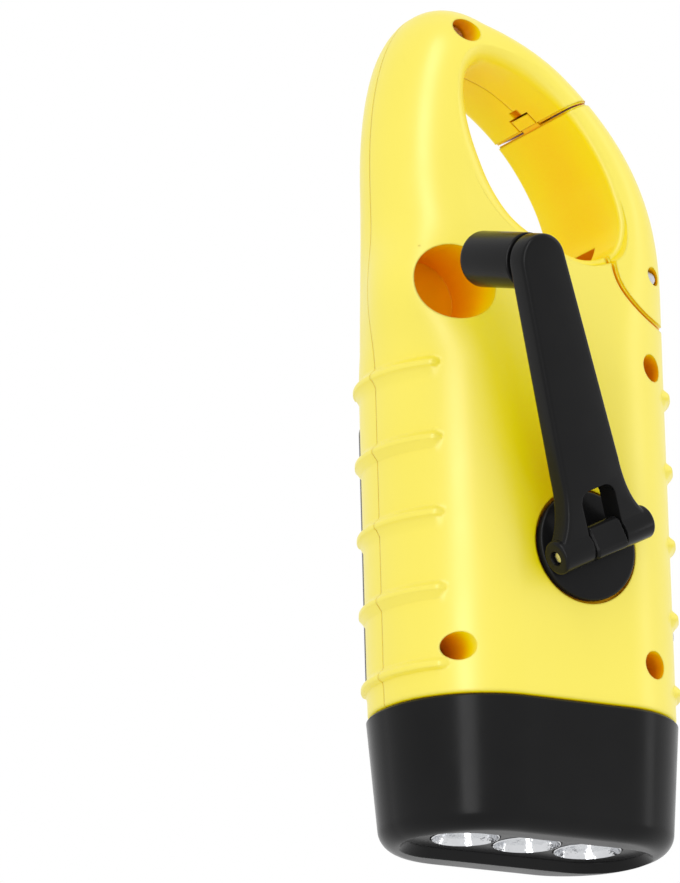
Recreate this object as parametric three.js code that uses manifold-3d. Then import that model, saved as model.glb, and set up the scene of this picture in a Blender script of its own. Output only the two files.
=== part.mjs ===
// Hand crank flashlight with a carabiner handle, in millimetres.
// It stands on its lens bezel: +Z runs to the carabiner, +X is the gate side,
// -Y is the crank side and +Y is the solar side. Depths called "rear" are measured towards -Y.
import * as THREE from 'three';
import { mergeVertices } from 'three/addons/utils/BufferGeometryUtils.js';
import Module from 'manifold-3d';

const wasm = await Module();
wasm.setup();

// Whole casing
const overallHeight = 140;
const bodyHalfWidth = 25.9;
const bodyHalfDepth = 17;
const sideRadius = 16.4;
const gateSideRadius = 8;
const ringHalfDepth = 11.3;
const wall = 2;
const headHeight = 21.2;
const edgeBreak = 0.5;
const thinStart = 75;
const thinEnd = 110;
const runningGap = 0.3;
const overrun = 2;

// Carabiner ring
const archApexX = -10;
const archCrownFlat = 0.1;
const backShoulder = 108.5;
const gateShoulder = 92;
const backRisePower = 2.15;
const backFallPower = 2.76;
const gateRisePower = 2.7;
const gateFallPower = 1.05;
const openingLeft = -13;
const openingWidth = 28;
const openingFloor = 97.4;
const openingHeight = 32.4;
const openingFlare = 3.6;
const openingFlareSpread = 2;
const openingCrispShare = 0.75;

// Gate
const gatePinX = 20.8;
const gatePinZ = 96.1;
const gatePinRadius = 1.3;
const gatePinInset = 0.9;
const gateFootRadius = 8.4;
const gateHeelRoom = 0.2;
const gateTipRadius = 30.6;
const gateSlotHalf = 3.8;
const gateSlotRise = 6.2;
const tongueRadius = 5.5;
const tongueNeckHalf = 4;
const tongueFrontDepth = 1;
const latchAngle = 119;
const latchSpread = 8;
const latchReach = 2.6;
const latchHalfDepth = 2.4;
const latchRelief = 2.4;

// Gate spring
const springWire = 0.3;
const springCoilRadius = 2.4;
const springTurns = 2;
const springLeg = 3.4;

// Grip ribs
const ribCount = 5;
const ribLowest = 26.5;
const ribPitch = 12.4;
const ribHalfHeight = 1.3;
const ribProud = 1;
const ribInnerEnd = 20;
const ribFade = 2;

// Casing screws, seen in four counterbores on the crank side
const screwBoreRadius = 2.3;
const screwBossRadius = 3.7;
const screwFloor = 3.5;
const screwHeadRadius = 1.9;
const screwHeadHeight = 1.5;
const screwShankRadius = 1.1;
const screwLength = 11;
const screwTopOffset = 2.4;
const screwTopDrop = 5.8;
const screwGateInset = 8.2;
const screwGateDrop = 16.9;
const screwLeftInset = 6.1;
const screwRightInset = 10.5;
const screwLowRise = 7.8;
const screwPlaces = [
  { name: 'screw_top', x: archApexX - screwTopOffset, z: overallHeight - screwTopDrop },
  { name: 'screw_gate_side', x: bodyHalfWidth - screwGateInset, z: gatePinZ - screwGateDrop },
  { name: 'screw_lower_left', x: screwLeftInset - bodyHalfWidth, z: headHeight + screwLowRise },
  { name: 'screw_lower_right', x: bodyHalfWidth - screwRightInset, z: headHeight + screwLowRise },
];

// Crank hub
const hubX = 2.2;
const hubZ = 46.9;
const hubRadius = 9;
const hubThickness = 2;
const hubRecessDepth = 1.2;
const hubShaftRadius = 3.2;
const hubShaftDepth = 6.2;
const hubShaftEnd = bodyHalfDepth - hubShaftDepth;
const hubSquare = 3.6;
const hubSquareLength = 3.1;
const hubSquareEnd = hubShaftEnd - hubSquareLength;
const hubBossRadius = 6;
const hubBossDepth = 4;
const hubScrewHeadRadius = 3.1;
const hubScrewHeadHeight = 1.5;
const hubScrewShankRadius = 0.9;
const hubScrewLength = 4;

// Crank arm: it folds on a pin that lies across the hub
const pinLift = 3.5;
const pinRadius = 0.9;
const barrelRadius = 2.8;
const hingeWidth = 19;
const knuckleWidth = 6.4;
const knuckleCorner = 1.5;
const armLength = 46.4;
const armThickness = 4;
const armTipRadius = 4.4;
const armRootHalfWidth = 6;
const armRootReach = 12;
const armFlareReach = 4.5;
const armNotchReach = 8.8;
const armNotchCorner = 2;
const armBevel = 0.7;
const stowedTurn = 25.9;
const restTilt = 18;

// Knob
const knobRadius = 4.5;
const knobLength = 12.5;
const knobEdge = 1.2;
const knobBoreRadius = 1.8;
const knobStudRadius = 1.5;
const knobScrewHeadRadius = 2.6;
const knobScrewHeadHeight = 1.2;
const knobPocketDepth = 2;
const knobScrewEntry = 2.5;

// Knob socket in the rear casing
const socketReach = 47.2;
const socketRadius = 6.5;
const socketFloor = 1.6;
const socketWall = 1.4;
const bulgeRise = 3.2;
const bulgeHalfHeight = 13;
const bulgeCentre = 32;
const bulgeHalfArc = 52;

// Head
const headBottomRadius = 3.2;
const headTaper = 1.6;
const headProud = 0.3;
const headWall = 2.2;
const headFloor = 9.5;
const spigotHeight = 2.8;
const spigotWall = 1.6;
const recessHalfWidth = 21;
const recessRadius = 8;
const lensSetBack = 2.4;
const lensThickness = 1.2;

// Light
const ledCount = 3;
const ledPitch = 11.5;
const ledRadius = 2.35;
const ledLength = 6;
const ledFlangeRadius = 2.9;
const ledFlangeHeight = 1;
const cupRadius = 5.3;
const cupThroat = 2.7;
const cupDepth = 5.5;
const reflectorFlange = 1.2;
const reflectorFlangeHeight = 2.2;
const ledBoardThickness = 1.4;

// Solar panel on the front casing
const panelX = -2.3;
const panelBottom = 26.7;
const panelHalfWidth = 16.4;
const panelCornerHeight = 47;
const panelSagitta = 4.4;
const panelCorner = 3.5;
const panelProud = 1.6;
const trayBottom = 3.1;
const trayHalfWidth = 14.2;
const trayHeight = 44.6;
const trayCorner = 1.2;
const trayDepth = 1.5;
const traySlope = 0.7;
const panelSeat = 3.4;
const panelBevel = 0.8;
const cellThickness = 1.6;
const windowBottom = 6.5;
const windowHalfWidth = 10.6;
const windowHeight = 38.6;
const windowCorner = 1.6;
const windowOffset = 1;
const cellStripCount = 9;
const cellLineWidth = 0.3;
const cellLineDepth = 0.15;
const cellOverlap = 1.2;

// Gears
const coarseModule = 0.8;
const fineModule = 0.6;
const driveTeeth = 40;
const idlerPinionTeeth = 12;
const idlerTeeth = 36;
const rotorTeeth = 10;
const pressureAngle = 20;
const toothBacklash = 0.3;
const meshClearance = 0.2;
const driveGearRear = hubShaftEnd - runningGap * 2;
const driveGearThickness = 2.4;
const gearLayerGap = 0.9;
const idlerPinionRear = driveGearRear + runningGap;
const idlerGearRear = driveGearRear - driveGearThickness - gearLayerGap;
const idlerGearThickness = 2.2;
const idlerCollar = 1.1;
const rotorPinionRear = idlerGearRear + runningGap;
const rotorPinionLength = 2.8;
const idlerDirection = 125;
const rotorDirection = 35;
const axleRadius = 1;
const axleBossRadius = 2.6;
const axleBossDepth = 4.2;

// Circuit board, behind the solar panel
const boardHalfWidth = 12;
const boardBottom = 46;
const boardHeight = 30;
const boardThickness = 1.6;
const boardStandoff = 4;
const boardFront = bodyHalfDepth - wall - boardStandoff;
const boardRear = boardFront - boardThickness;
const boardPostRadius = 2;
const boardPostInset = 3;
const chipSize = 6;
const chipHeight = 1.8;
const capRadius = 2.5;
const capHeight = 5;

// Plate over the gears, on three posts around the idler
const plateGap = 1.4;
const plateRear = rotorPinionRear - rotorPinionLength - plateGap;
const plateThickness = 1.2;
const platePostRadius = 2;
const plateMargin = 3.2;
const lowPostReach = 14.4;
const lowPostDirection = 227.4;
const sidePostReach = 25.9;
const sidePostDirection = 6.4;
const highPostReach = 15.5;
const highPostDirection = 85.4;

// Generator, between that plate and the board
const generatorRadius = 10;
const generatorRear = plateRear - plateThickness - runningGap;
const generatorClearance = 0.9;
const generatorFront = boardRear - generatorClearance;
const generatorRim = 1.2;
const rotorTailCover = 2.5;
const rotorTail = generatorFront - rotorTailCover;

// Battery, between the hub's screw and the panel's seat
const batteryLength = 24;
const batteryX = (screwLeftInset - screwRightInset) / 2;
const batteryZ = 34.2;
const batteryFrontRoom = 1.1;
const batteryRearRoom = 1.5;
const hubScrewSeat = driveGearRear - driveGearThickness - runningGap;
const batteryHigh = bodyHalfDepth - wall - panelSeat - batteryFrontRoom;
const batteryLow = batteryRearRoom + hubScrewHeadHeight - hubScrewSeat;
const batteryRadius = (batteryHigh - batteryLow) / 2;
const batteryFront = (batteryHigh + batteryLow) / 2;
const cradleX = 8;
const cradleThickness = 1.6;

// Button and switch
const buttonZ = 38;
const buttonRadius = 4.5;
const buttonProud = 2.6;
const buttonTravel = 0.8;
const buttonFlange = 1.3;
const buttonFlangeThickness = 1.1;
const switchHalf = 3;
const switchDepth = 4.6;
const plungerRadius = 1.5;
const plungerLength = 1.2;
const switchBracket = 1.6;

// Facets
const cornerSteps = 6;
const insideSteps = 3;
const roundSides = 24;
const smallSides = 10;
const cupSides = 18;
const bossSides = 14;
const panelSteps = 3;
const archSteps = 12;
const thinSteps = 8;
const openingSteps = 32;
const flareSteps = 3;
const domeSteps = 4;
const ovalSteps = 7;
const plateSteps = 4;
const bevelSteps = 2;
const springSteps = 8;
const wireSides = 6;
const weldDistance = 0.0001;

// Closed outline of the carabiner opening, as shares of its width and height
const openingShares = [
  [0.121, 0.994],
  [0.029, 0.923],
  [0.0, 0.79],
  [0.025, 0.636],
  [0.082, 0.481],
  [0.171, 0.315],
  [0.3, 0.176],
  [0.507, 0.071],
  [0.75, 0.003],
  [0.936, 0.059],
  [0.996, 0.204],
  [0.943, 0.401],
  [0.843, 0.574],
  [0.7, 0.735],
  [0.521, 0.867],
  [0.321, 0.963],
];

// A rib's crest between its lower and upper edge, as shares of its half height
const ribCrestShares = [-0.6, 0.2];

// The inner corner of the swinging half of the ring, as shares of the opening
const gateInwardShares = [0.5, 0.4];

// Gear teeth, as shares of their size
const gearRootShare = 1.25;
const gearTipShare = 0.95;
const gearUndercutShare = 1.02;
const collarRootShare = 1.3;

// The cross in a screw's head, as shares of the shank's and the head's radius
const crossWidthShare = 0.25;
const crossReachShare = 0.7;

// Height of the chip on the board, as a share of the board's height
const chipHeightShare = 0.25;

// Rise of the button's dome, as a share of what stands proud
const buttonDomeShare = 1.2;

const radians = THREE.MathUtils.degToRad;

// Solids

function toSolid(geometry) {
  const bare = geometry.index ? geometry.toNonIndexed() : geometry.clone();
  bare.deleteAttribute('normal');
  bare.deleteAttribute('uv');
  const merged = mergeVertices(bare, weldDistance);
  const mesh = new wasm.Mesh({
    numProp: 3,
    vertProperties: new Float32Array(merged.attributes.position.array),
    triVerts: new Uint32Array(merged.index.array),
  });
  return new wasm.Manifold(mesh);
}

function toGeometry(solid) {
  const mesh = solid.getMesh();
  const geometry = new THREE.BufferGeometry();
  geometry.setAttribute('position', new THREE.BufferAttribute(mesh.vertProperties, 3));
  geometry.setIndex(new THREE.BufferAttribute(mesh.triVerts, 1));
  geometry.computeVertexNormals();
  return geometry;
}

function join(first, ...others) {
  return others.reduce((sum, other) => sum.add(other), first);
}

function cut(first, ...others) {
  return others.reduce((rest, other) => rest.subtract(other), first);
}

function common(first, second) {
  return first.intersect(second);
}

// A round bar along Y, from one Y to another
function rodY(radius, yLow, yHigh, x = 0, z = 0, sides = roundSides) {
  const geometry = new THREE.CylinderGeometry(radius, radius, yHigh - yLow, sides);
  geometry.translate(x, (yLow + yHigh) / 2, z);
  return toSolid(geometry);
}

function rodX(radius, xLow, xHigh, y = 0, z = 0, sides = roundSides) {
  const geometry = new THREE.CylinderGeometry(radius, radius, xHigh - xLow, sides);
  geometry.rotateZ(Math.PI / 2);
  geometry.translate((xLow + xHigh) / 2, y, z);
  return toSolid(geometry);
}

function rodZ(radius, zLow, zHigh, x = 0, y = 0, sides = roundSides) {
  const geometry = new THREE.CylinderGeometry(radius, radius, zHigh - zLow, sides);
  geometry.rotateX(Math.PI / 2);
  geometry.translate(x, y, (zLow + zHigh) / 2);
  return toSolid(geometry);
}

function block(xLow, xHigh, yLow, yHigh, zLow, zHigh) {
  const geometry = new THREE.BoxGeometry(xHigh - xLow, yHigh - yLow, zHigh - zLow);
  geometry.translate((xLow + xHigh) / 2, (yLow + yHigh) / 2, (zLow + zHigh) / 2);
  return toSolid(geometry);
}

// A closed solid through rings of equally many points, capped at both ends
function loft(rings) {
  const count = rings[0].length;
  const points = rings.flat();
  const triangles = [];
  for (let level = 0; level < rings.length - 1; level += 1) {
    for (let i = 0; i < count; i += 1) {
      const a = level * count + i;
      const b = level * count + ((i + 1) % count);
      triangles.push([a, b, b + count], [a, b + count, a + count]);
    }
  }
  for (const [level, flip] of [[0, true], [rings.length - 1, false]]) {
    const middle = new THREE.Vector3();
    rings[level].forEach((point) => middle.addScaledVector(point, 1 / count));
    points.push(middle);
    const hub = points.length - 1;
    for (let i = 0; i < count; i += 1) {
      const a = level * count + i;
      const b = level * count + ((i + 1) % count);
      triangles.push(flip ? [hub, b, a] : [hub, a, b]);
    }
  }
  const geometry = new THREE.BufferGeometry().setFromPoints(points);
  geometry.setIndex(triangles.flat());
  return toSolid(geometry);
}

// A plate whose outline lies in X and Z, between two Y
function plateY(shape, yLow, yHigh, bevel = 0, arcSteps = plateSteps) {
  const geometry = new THREE.ExtrudeGeometry(shape, {
    depth: yHigh - yLow - 2 * bevel,
    bevelEnabled: bevel > 0,
    bevelThickness: bevel,
    bevelSize: bevel,
    bevelOffset: -bevel,
    bevelSegments: bevelSteps,
    curveSegments: arcSteps,
  });
  geometry.rotateX(Math.PI / 2);
  geometry.translate(0, yHigh - bevel, 0);
  return toSolid(geometry);
}

// A plate whose outline lies in X and Y, between two Z
function plateZ(shape, zLow, zHigh) {
  const geometry = new THREE.ExtrudeGeometry(shape, {
    depth: zHigh - zLow,
    bevelEnabled: false,
    curveSegments: ovalSteps,
  });
  geometry.translate(0, 0, zLow);
  return toSolid(geometry);
}

function stadium(halfWidth, radius) {
  const shape = new THREE.Shape();
  const straight = halfWidth - radius;
  shape.moveTo(-straight, -radius);
  shape.lineTo(straight, -radius);
  shape.absarc(straight, 0, radius, -Math.PI / 2, Math.PI / 2, false);
  shape.lineTo(-straight, radius);
  shape.absarc(-straight, 0, radius, Math.PI / 2, (Math.PI * 3) / 2, false);
  return shape;
}

// The band that a belt round three equal discs encloses
function beltShape(centres, radius) {
  const shape = new THREE.Shape();
  const middle = new THREE.Vector2();
  centres.forEach((centre) => middle.add(new THREE.Vector2(centre.x, centre.z)));
  middle.divideScalar(centres.length);
  const sorted = [...centres].sort((a, b) => {
    const angleA = Math.atan2(a.z - middle.y, a.x - middle.x);
    const angleB = Math.atan2(b.z - middle.y, b.x - middle.x);
    return angleA - angleB;
  });
  sorted.forEach((centre, i) => {
    const before = sorted[(i + sorted.length - 1) % sorted.length];
    const after = sorted[(i + 1) % sorted.length];
    const from = Math.atan2(centre.z - before.z, centre.x - before.x) - Math.PI / 2;
    const to = Math.atan2(after.z - centre.z, after.x - centre.x) - Math.PI / 2;
    shape.absarc(centre.x, centre.z, radius, from, to, false);
  });
  return shape;
}

function turned(profile, sides = roundSides) {
  return new THREE.LatheGeometry(profile.map(([r, h]) => new THREE.Vector2(r, h)), sides);
}

// Casing form

function quarter(share) {
  return Math.sqrt(Math.max(0, 1 - share * share));
}

// How much of the arch's reach is left at a height above its shoulder
function archShare(z, shoulder, risePower, fallPower) {
  const rise = THREE.MathUtils.clamp((z - shoulder) / (overallHeight - shoulder), 0, 1);
  return (1 - rise ** risePower) ** (1 / fallPower);
}

function backEdge(z) {
  const share = archShare(z, backShoulder, backRisePower, backFallPower);
  return archApexX - (bodyHalfWidth + archApexX) * share;
}

function gateEdge(z) {
  const share = archShare(z, gateShoulder, gateRisePower, gateFallPower);
  return archApexX + (bodyHalfWidth - archApexX) * share;
}

function halfDepth(z) {
  const thinning = THREE.MathUtils.smoothstep(z, thinStart, thinEnd);
  const depth = bodyHalfDepth - (bodyHalfDepth - ringHalfDepth) * thinning;
  const top = overallHeight - ringHalfDepth;
  const crown = Math.max(0, (z - top) / ringHalfDepth);
  return depth * quarter(Math.min(1, crown));
}

// How far the casing swells round the knob's socket: degrees run from -X towards the rear
function bulge(z, degrees) {
  const along = (z - socketZ) / bulgeHalfHeight;
  const round = (degrees - bulgeCentre) / bulgeHalfArc;
  if (Math.abs(along) >= 1 || Math.abs(round) >= 1) return 0;
  const quarterTurn = Math.PI / 2;
  return bulgeRise * Math.cos(quarterTurn * along) ** 2 * Math.cos(quarterTurn * round) ** 2;
}

// One level of the casing: a rectangle with round sides, grown outwards by some amount
function section(z, grow = 0, steps = cornerSteps) {
  const low = backEdge(z) - grow;
  const high = gateEdge(z) + grow;
  const depth = halfDepth(z) + grow;
  const crisp = THREE.MathUtils.smoothstep(z, thinStart, thinEnd);
  const gateRadius = sideRadius - (sideRadius - gateSideRadius) * crisp;
  const back = Math.min(sideRadius + grow, depth, (high - low) / 2);
  const gate = Math.min(gateRadius + grow, back);
  const ring = [];
  const corners = [
    [high - gate, gate - depth, gate, -90],
    [high - gate, depth - gate, gate, 0],
    [low + back, depth - back, back, 90],
    [low + back, back - depth, back, 180],
  ];
  for (const [x, y, radius, start] of corners) {
    for (let i = 0; i <= steps; i += 1) {
      const degrees = start + (90 * i) / steps;
      const angle = radians(degrees);
      const swollen = radius + bulge(z, degrees - 180);
      ring.push(new THREE.Vector3(x + swollen * Math.cos(angle), y + swollen * Math.sin(angle), z));
    }
  }
  return ring;
}

function casingLevels(bottom, top) {
  const levels = [bottom, thinStart];
  for (let i = 1; i <= thinSteps; i += 1) {
    levels.push(thinStart + ((thinEnd - thinStart) * i) / thinSteps);
  }
  for (let i = 1; i <= archSteps; i += 1) {
    levels.push(thinEnd + (top - thinEnd) * Math.sin(((Math.PI / 2) * i) / archSteps));
  }
  return levels;
}

// The opening's outline, moved outwards by some amount; its flare is soft at the back, crisp at the gate
function openingRing(grow, deep, flare, turn, side) {
  const centres = openingShares.map(
    ([x, z]) =>
      new THREE.Vector3(openingLeft + openingWidth * x, 0, openingFloor + openingHeight * z),
  );
  const curve = new THREE.CatmullRomCurve3(centres, true, 'centripetal');
  const ring = [];
  for (let i = 0; i < openingSteps; i += 1) {
    const point = curve.getPointAt(i / openingSteps);
    const along = curve.getTangentAt(i / openingSteps);
    const across = (point.x - openingLeft) / openingWidth;
    const soft = flare * (1 - openingCrispShare * THREE.MathUtils.smoothstep(across, 0, 1));
    const spread = grow + soft * (1 - Math.cos(turn));
    const y = side * (deep - soft * (1 - Math.sin(turn)));
    ring.push(new THREE.Vector3(point.x + along.z * spread, y, point.z - along.x * spread));
  }
  return ring;
}

// The opening as a cutter: straight through the middle and rounded off at both faces
function openingSolid(grow, flare, steps = flareSteps) {
  const half = [];
  for (let i = 0; i <= steps; i += 1) {
    half.push([grow, ringHalfDepth, ((Math.PI / 2) * i) / steps]);
  }
  half.push([grow + openingFlareSpread, bodyHalfDepth + overrun, Math.PI / 2]);
  const front = [...half].reverse().map(([spread, deep, turn]) => openingRing(spread, deep, flare, turn, 1));
  const rear = half.map(([spread, deep, turn]) => openingRing(spread, deep, flare, turn, -1));
  return loft(front.concat(rear));
}

// The part of the ring that swings: all within the tip's arc above the pin, and the round foot,
// which has room for the heel that swings in over it
function gateRegion(grow, heelRoom) {
  const far = bodyHalfDepth + overrun;
  const disc = rodY(gateTipRadius + grow, -far, far, gatePinX, gatePinZ, roundSides * 2);
  const above = block(
    gatePinX - gateFootRadius - grow,
    gatePinX + gateTipRadius * 2,
    -far - overrun,
    far + overrun,
    gatePinZ,
    gatePinZ + gateTipRadius * 2,
  );
  const [across, up] = gateInwardShares;
  const inward = block(
    openingLeft + openingWidth * across,
    gatePinX,
    -far - overrun,
    far + overrun,
    openingFloor + openingHeight * up,
    overallHeight + overrun,
  );
  const foot = rodY(gateFootRadius + grow + heelRoom, -far, far, gatePinX, gatePinZ);
  return join(common(disc, join(above, inward)), foot);
}

// The latch tongue on the gate's tip, in a notch of the arch that leaves it room to swing in
function latchSolid(grow, relief) {
  const shape = new THREE.Shape();
  const inner = gateTipRadius - latchReach;
  const outer = gateTipRadius + latchReach + grow;
  const from = radians(latchAngle - latchSpread / 2) - grow / gateTipRadius;
  const to = radians(latchAngle + latchSpread / 2 + relief);
  shape.absarc(0, 0, outer, from, to, false);
  shape.absarc(0, 0, inner, to, from, true);
  const half = latchHalfDepth + grow;
  return plateY(shape, -half, half).translate([gatePinX, 0, gatePinZ]);
}

function atPin(yLow, yHigh, radius, sides = roundSides) {
  return rodY(radius, yLow, yHigh, gatePinX, gatePinZ, sides);
}

// Parts of the crank's line, seen from the rear
const stowed = radians(stowedTurn);
const socketX = hubX - socketReach * Math.sin(stowed);
const socketZ = hubZ + socketReach * Math.cos(stowed);
const pinRear = bodyHalfDepth - hubRecessDepth + hubThickness + pinLift;

function offsetBy(distance, degrees) {
  const angle = radians(degrees);
  return { x: distance * Math.cos(angle), z: distance * Math.sin(angle) };
}

const coarseReach = (coarseModule * (driveTeeth + idlerPinionTeeth)) / 2 + meshClearance;
const fineReach = (fineModule * (idlerTeeth + rotorTeeth)) / 2 + meshClearance;
const idlerOffset = offsetBy(coarseReach, idlerDirection);
const rotorOffset = offsetBy(fineReach, rotorDirection);
const idlerX = hubX + idlerOffset.x;
const idlerZ = hubZ + idlerOffset.z;
const rotorX = idlerX + rotorOffset.x;
const rotorZ = idlerZ + rotorOffset.z;
const platePosts = [
  offsetBy(lowPostReach, lowPostDirection),
  offsetBy(sidePostReach, sidePostDirection),
  offsetBy(highPostReach, highPostDirection),
].map(({ x, z }) => ({ x: idlerX + x, z: idlerZ + z }));

// Casing halves

// A level of the casing at a rib: its sides stand proud and fade out towards the faces
function ribRing(z, proud) {
  const base = section(z);
  const full = section(z, proud);
  return base.map((point, i) => {
    const past = (Math.abs(full[i].x) - ribInnerEnd) / ribFade;
    return point.lerp(full[i], THREE.MathUtils.clamp(past, 0, 1));
  });
}

function ribRings(z) {
  return [
    ribRing(z - ribHalfHeight, 0),
    ...ribCrestShares.map((share) => ribRing(z + ribHalfHeight * share, ribProud)),
    ribRing(z + ribHalfHeight, 0),
  ];
}

function casingOutside() {
  const bottom = headHeight;
  const rings = [section(bottom, -edgeBreak), section(bottom + edgeBreak * 2)];
  for (let i = 0; i < ribCount; i += 1) {
    rings.push(...ribRings(ribLowest + i * ribPitch));
  }
  const above = ribLowest + (ribCount - 1) * ribPitch + ribHalfHeight;
  const rest = casingLevels(bottom, overallHeight - archCrownFlat).filter((z) => z > above);
  return loft(rings.concat(rest.map((z) => section(z))));
}

function insideSolid() {
  const levels = casingLevels(headHeight - overrun, overallHeight - archCrownFlat);
  const top = overallHeight - wall - archCrownFlat;
  const rings = levels.filter((z) => z < top).map((z) => section(z, -wall, insideSteps));
  const opening = openingSolid(wall, openingFlare, 1);
  const gateWall = gateRegion(runningGap + wall, gateHeelRoom);
  return cut(loft(rings), opening, gateWall);
}

function socketCutter() {
  return rodY(socketRadius, -bodyHalfDepth - overrun, -socketFloor, socketX, socketZ);
}

function socketCup() {
  return rodY(socketRadius + socketWall, -bodyHalfDepth, 0, socketX, socketZ);
}

function tongueSolid(yLow, yHigh) {
  const neck = block(
    gatePinX - tongueNeckHalf,
    gatePinX + tongueNeckHalf,
    yLow,
    yHigh,
    gatePinZ - gateFootRadius - wall,
    gatePinZ,
  );
  return join(atPin(yLow, yHigh, tongueRadius), neck);
}

const outside = casingOutside();
const openingCut = openingSolid(0, openingFlare);
const closedForm = cut(outside, openingCut);
const hollow = insideSolid();
const gateSpace = gateRegion(runningGap, gateHeelRoom);
const tongueSlot = block(
  gatePinX - gateFootRadius * 2,
  gatePinX + gateFootRadius * 2,
  -gateSlotHalf,
  gateSlotHalf,
  gatePinZ - gateFootRadius * 2,
  gatePinZ + gateSlotRise,
);

function halfSpace(side) {
  const far = bodyHalfDepth + overrun * 2;
  const reach = overallHeight;
  const [low, high] = side < 0 ? [-far, 0] : [0, far];
  return block(-reach, reach, low, high, -overrun, overallHeight + overrun);
}

const rearSpace = halfSpace(-1);
const frontSpace = halfSpace(1);

function shellHalf(space) {
  const shell = cut(closedForm, hollow, gateSpace, latchSolid(runningGap, latchRelief));
  return common(shell, space);
}

// The hub's recess, bore and boss, the knob's socket, and what carries the gears
function makeRearShell() {
  const rearWall = -(bodyHalfDepth - wall);
  const bosses = [];
  const bores = [];
  for (const { x, z } of screwPlaces) {
    bosses.push(common(rodY(screwBossRadius, -bodyHalfDepth, 0, x, z, bossSides), closedForm));
    bores.push(rodY(screwBoreRadius, -bodyHalfDepth - overrun, -screwFloor, x, z));
    const pilot = screwShankRadius + runningGap;
    bores.push(rodY(pilot, -screwFloor - overrun, overrun, x, z, smallSides));
  }
  const hubBossEnd = rearWall + hubBossDepth;
  const hubBoss = rodY(hubBossRadius, rearWall - edgeBreak, hubBossEnd, hubX, hubZ, bossSides);
  const hubRecess = -(bodyHalfDepth - hubRecessDepth);
  bores.push(rodY(hubRadius + edgeBreak, -bodyHalfDepth - overrun, hubRecess, hubX, hubZ));
  const shaftBore = hubShaftRadius + runningGap;
  bores.push(rodY(shaftBore, hubRecess - overrun, rearWall + hubBossDepth * 2, hubX, hubZ));
  const axleEnd = rearWall + axleBossDepth;
  const idlerBoss = rodY(axleBossRadius, rearWall - edgeBreak, axleEnd, idlerX, idlerZ, smallSides);
  const axleBore = axleRadius + runningGap;
  bores.push(rodY(axleBore, rearWall + runningGap, axleEnd + overrun, idlerX, idlerZ, smallSides));
  const posts = platePosts.map(({ x, z }) => {
    const post = rodY(platePostRadius, -bodyHalfDepth, -plateRear - runningGap, x, z, smallSides);
    return common(post, closedForm);
  });
  const cup = common(socketCup(), closedForm);
  const tongue = tongueSolid(-gateSlotHalf + runningGap, 0);
  const shell = join(shellHalf(rearSpace), hubBoss, idlerBoss, cup, tongue, ...bosses, ...posts);
  bores.push(socketCutter(), buttonBore());
  bores.push(atPin(-bodyHalfDepth, bodyHalfDepth, gatePinRadius + runningGap, smallSides));
  return cut(shell, ...bores);
}

function buttonBore() {
  const inner = bodyHalfWidth - wall * 2;
  const outer = bodyHalfWidth + overrun;
  const bore = rodX(buttonRadius + runningGap, inner, outer, 0, buttonZ);
  const dish = rodX(buttonRadius + edgeBreak * 2, bodyHalfWidth - edgeBreak, outer, 0, buttonZ);
  const flangeRoom = buttonRadius + buttonFlange + runningGap * 2;
  const pocket = rodX(flangeRoom, inner, wallInside, 0, buttonZ);
  return join(bore, dish, pocket);
}

// The half that carries the solar panel, the battery's cradle, the board's posts and the switch
function makeFrontShell() {
  const frontWall = bodyHalfDepth - wall;
  const added = [];
  const bores = [buttonBore()];
  for (const { x, z } of screwPlaces) {
    const boss = rodY(screwBossRadius, 0, bodyHalfDepth - wall / 2, x, z, bossSides);
    added.push(common(boss, closedForm));
    const depth = screwLength - screwFloor + runningGap * 2;
    bores.push(rodY(screwShankRadius + runningGap, -overrun, depth, x, z, smallSides));
  }
  for (const side of [-1, 1]) {
    const x = batteryX + side * cradleX;
    const half = cradleThickness / 2;
    const low = batteryZ - batteryRadius;
    const high = batteryZ + batteryRadius;
    const web = block(x - half, x + half, batteryFront, frontWall + edgeBreak, low, high);
    const cell = rodX(
      batteryRadius + runningGap,
      x - half - overrun,
      x + half + overrun,
      batteryFront,
      batteryZ,
    );
    added.push(cut(web, cell));
  }
  for (const side of [-1, 1]) {
    for (const z of [boardBottom + boardPostInset, boardBottom + boardHeight - boardPostInset]) {
      const x = side * (boardHalfWidth - boardPostInset);
      const low = frontWall - boardStandoff + runningGap;
      added.push(rodY(boardPostRadius, low, frontWall + edgeBreak, x, z, smallSides));
    }
  }
  const bracket = block(
    switchBack - switchBracket,
    switchBack,
    runningGap,
    frontWall + edgeBreak,
    buttonZ - switchHalf - switchBracket,
    buttonZ + switchHalf + switchBracket,
  );
  added.push(common(bracket, closedForm), tongueSolid(0, tongueFrontDepth));
  const seat = plateY(panelOutline(runningGap), bodyHalfDepth - panelSeat, frontFar());
  bores.push(atPin(-bodyHalfDepth, bodyHalfDepth, gatePinRadius + runningGap, smallSides));
  const panelPlate = common(plateY(panelOutline(wall), frontWall - panelSeat, frontFar()), closedForm);
  return cut(join(shellHalf(frontSpace), panelPlate, ...added), seat, ...bores);
}

function frontFar() {
  return bodyHalfDepth + overrun;
}

// Places along X of the button, its switch and the bracket behind it
const wallInside = bodyHalfWidth - wall;
const buttonBack = wallInside - runningGap - buttonFlangeThickness;
const plungerTip = buttonBack - buttonTravel - runningGap;
const switchFront = plungerTip - plungerLength;
const switchBack = switchFront - switchDepth - runningGap;

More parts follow.
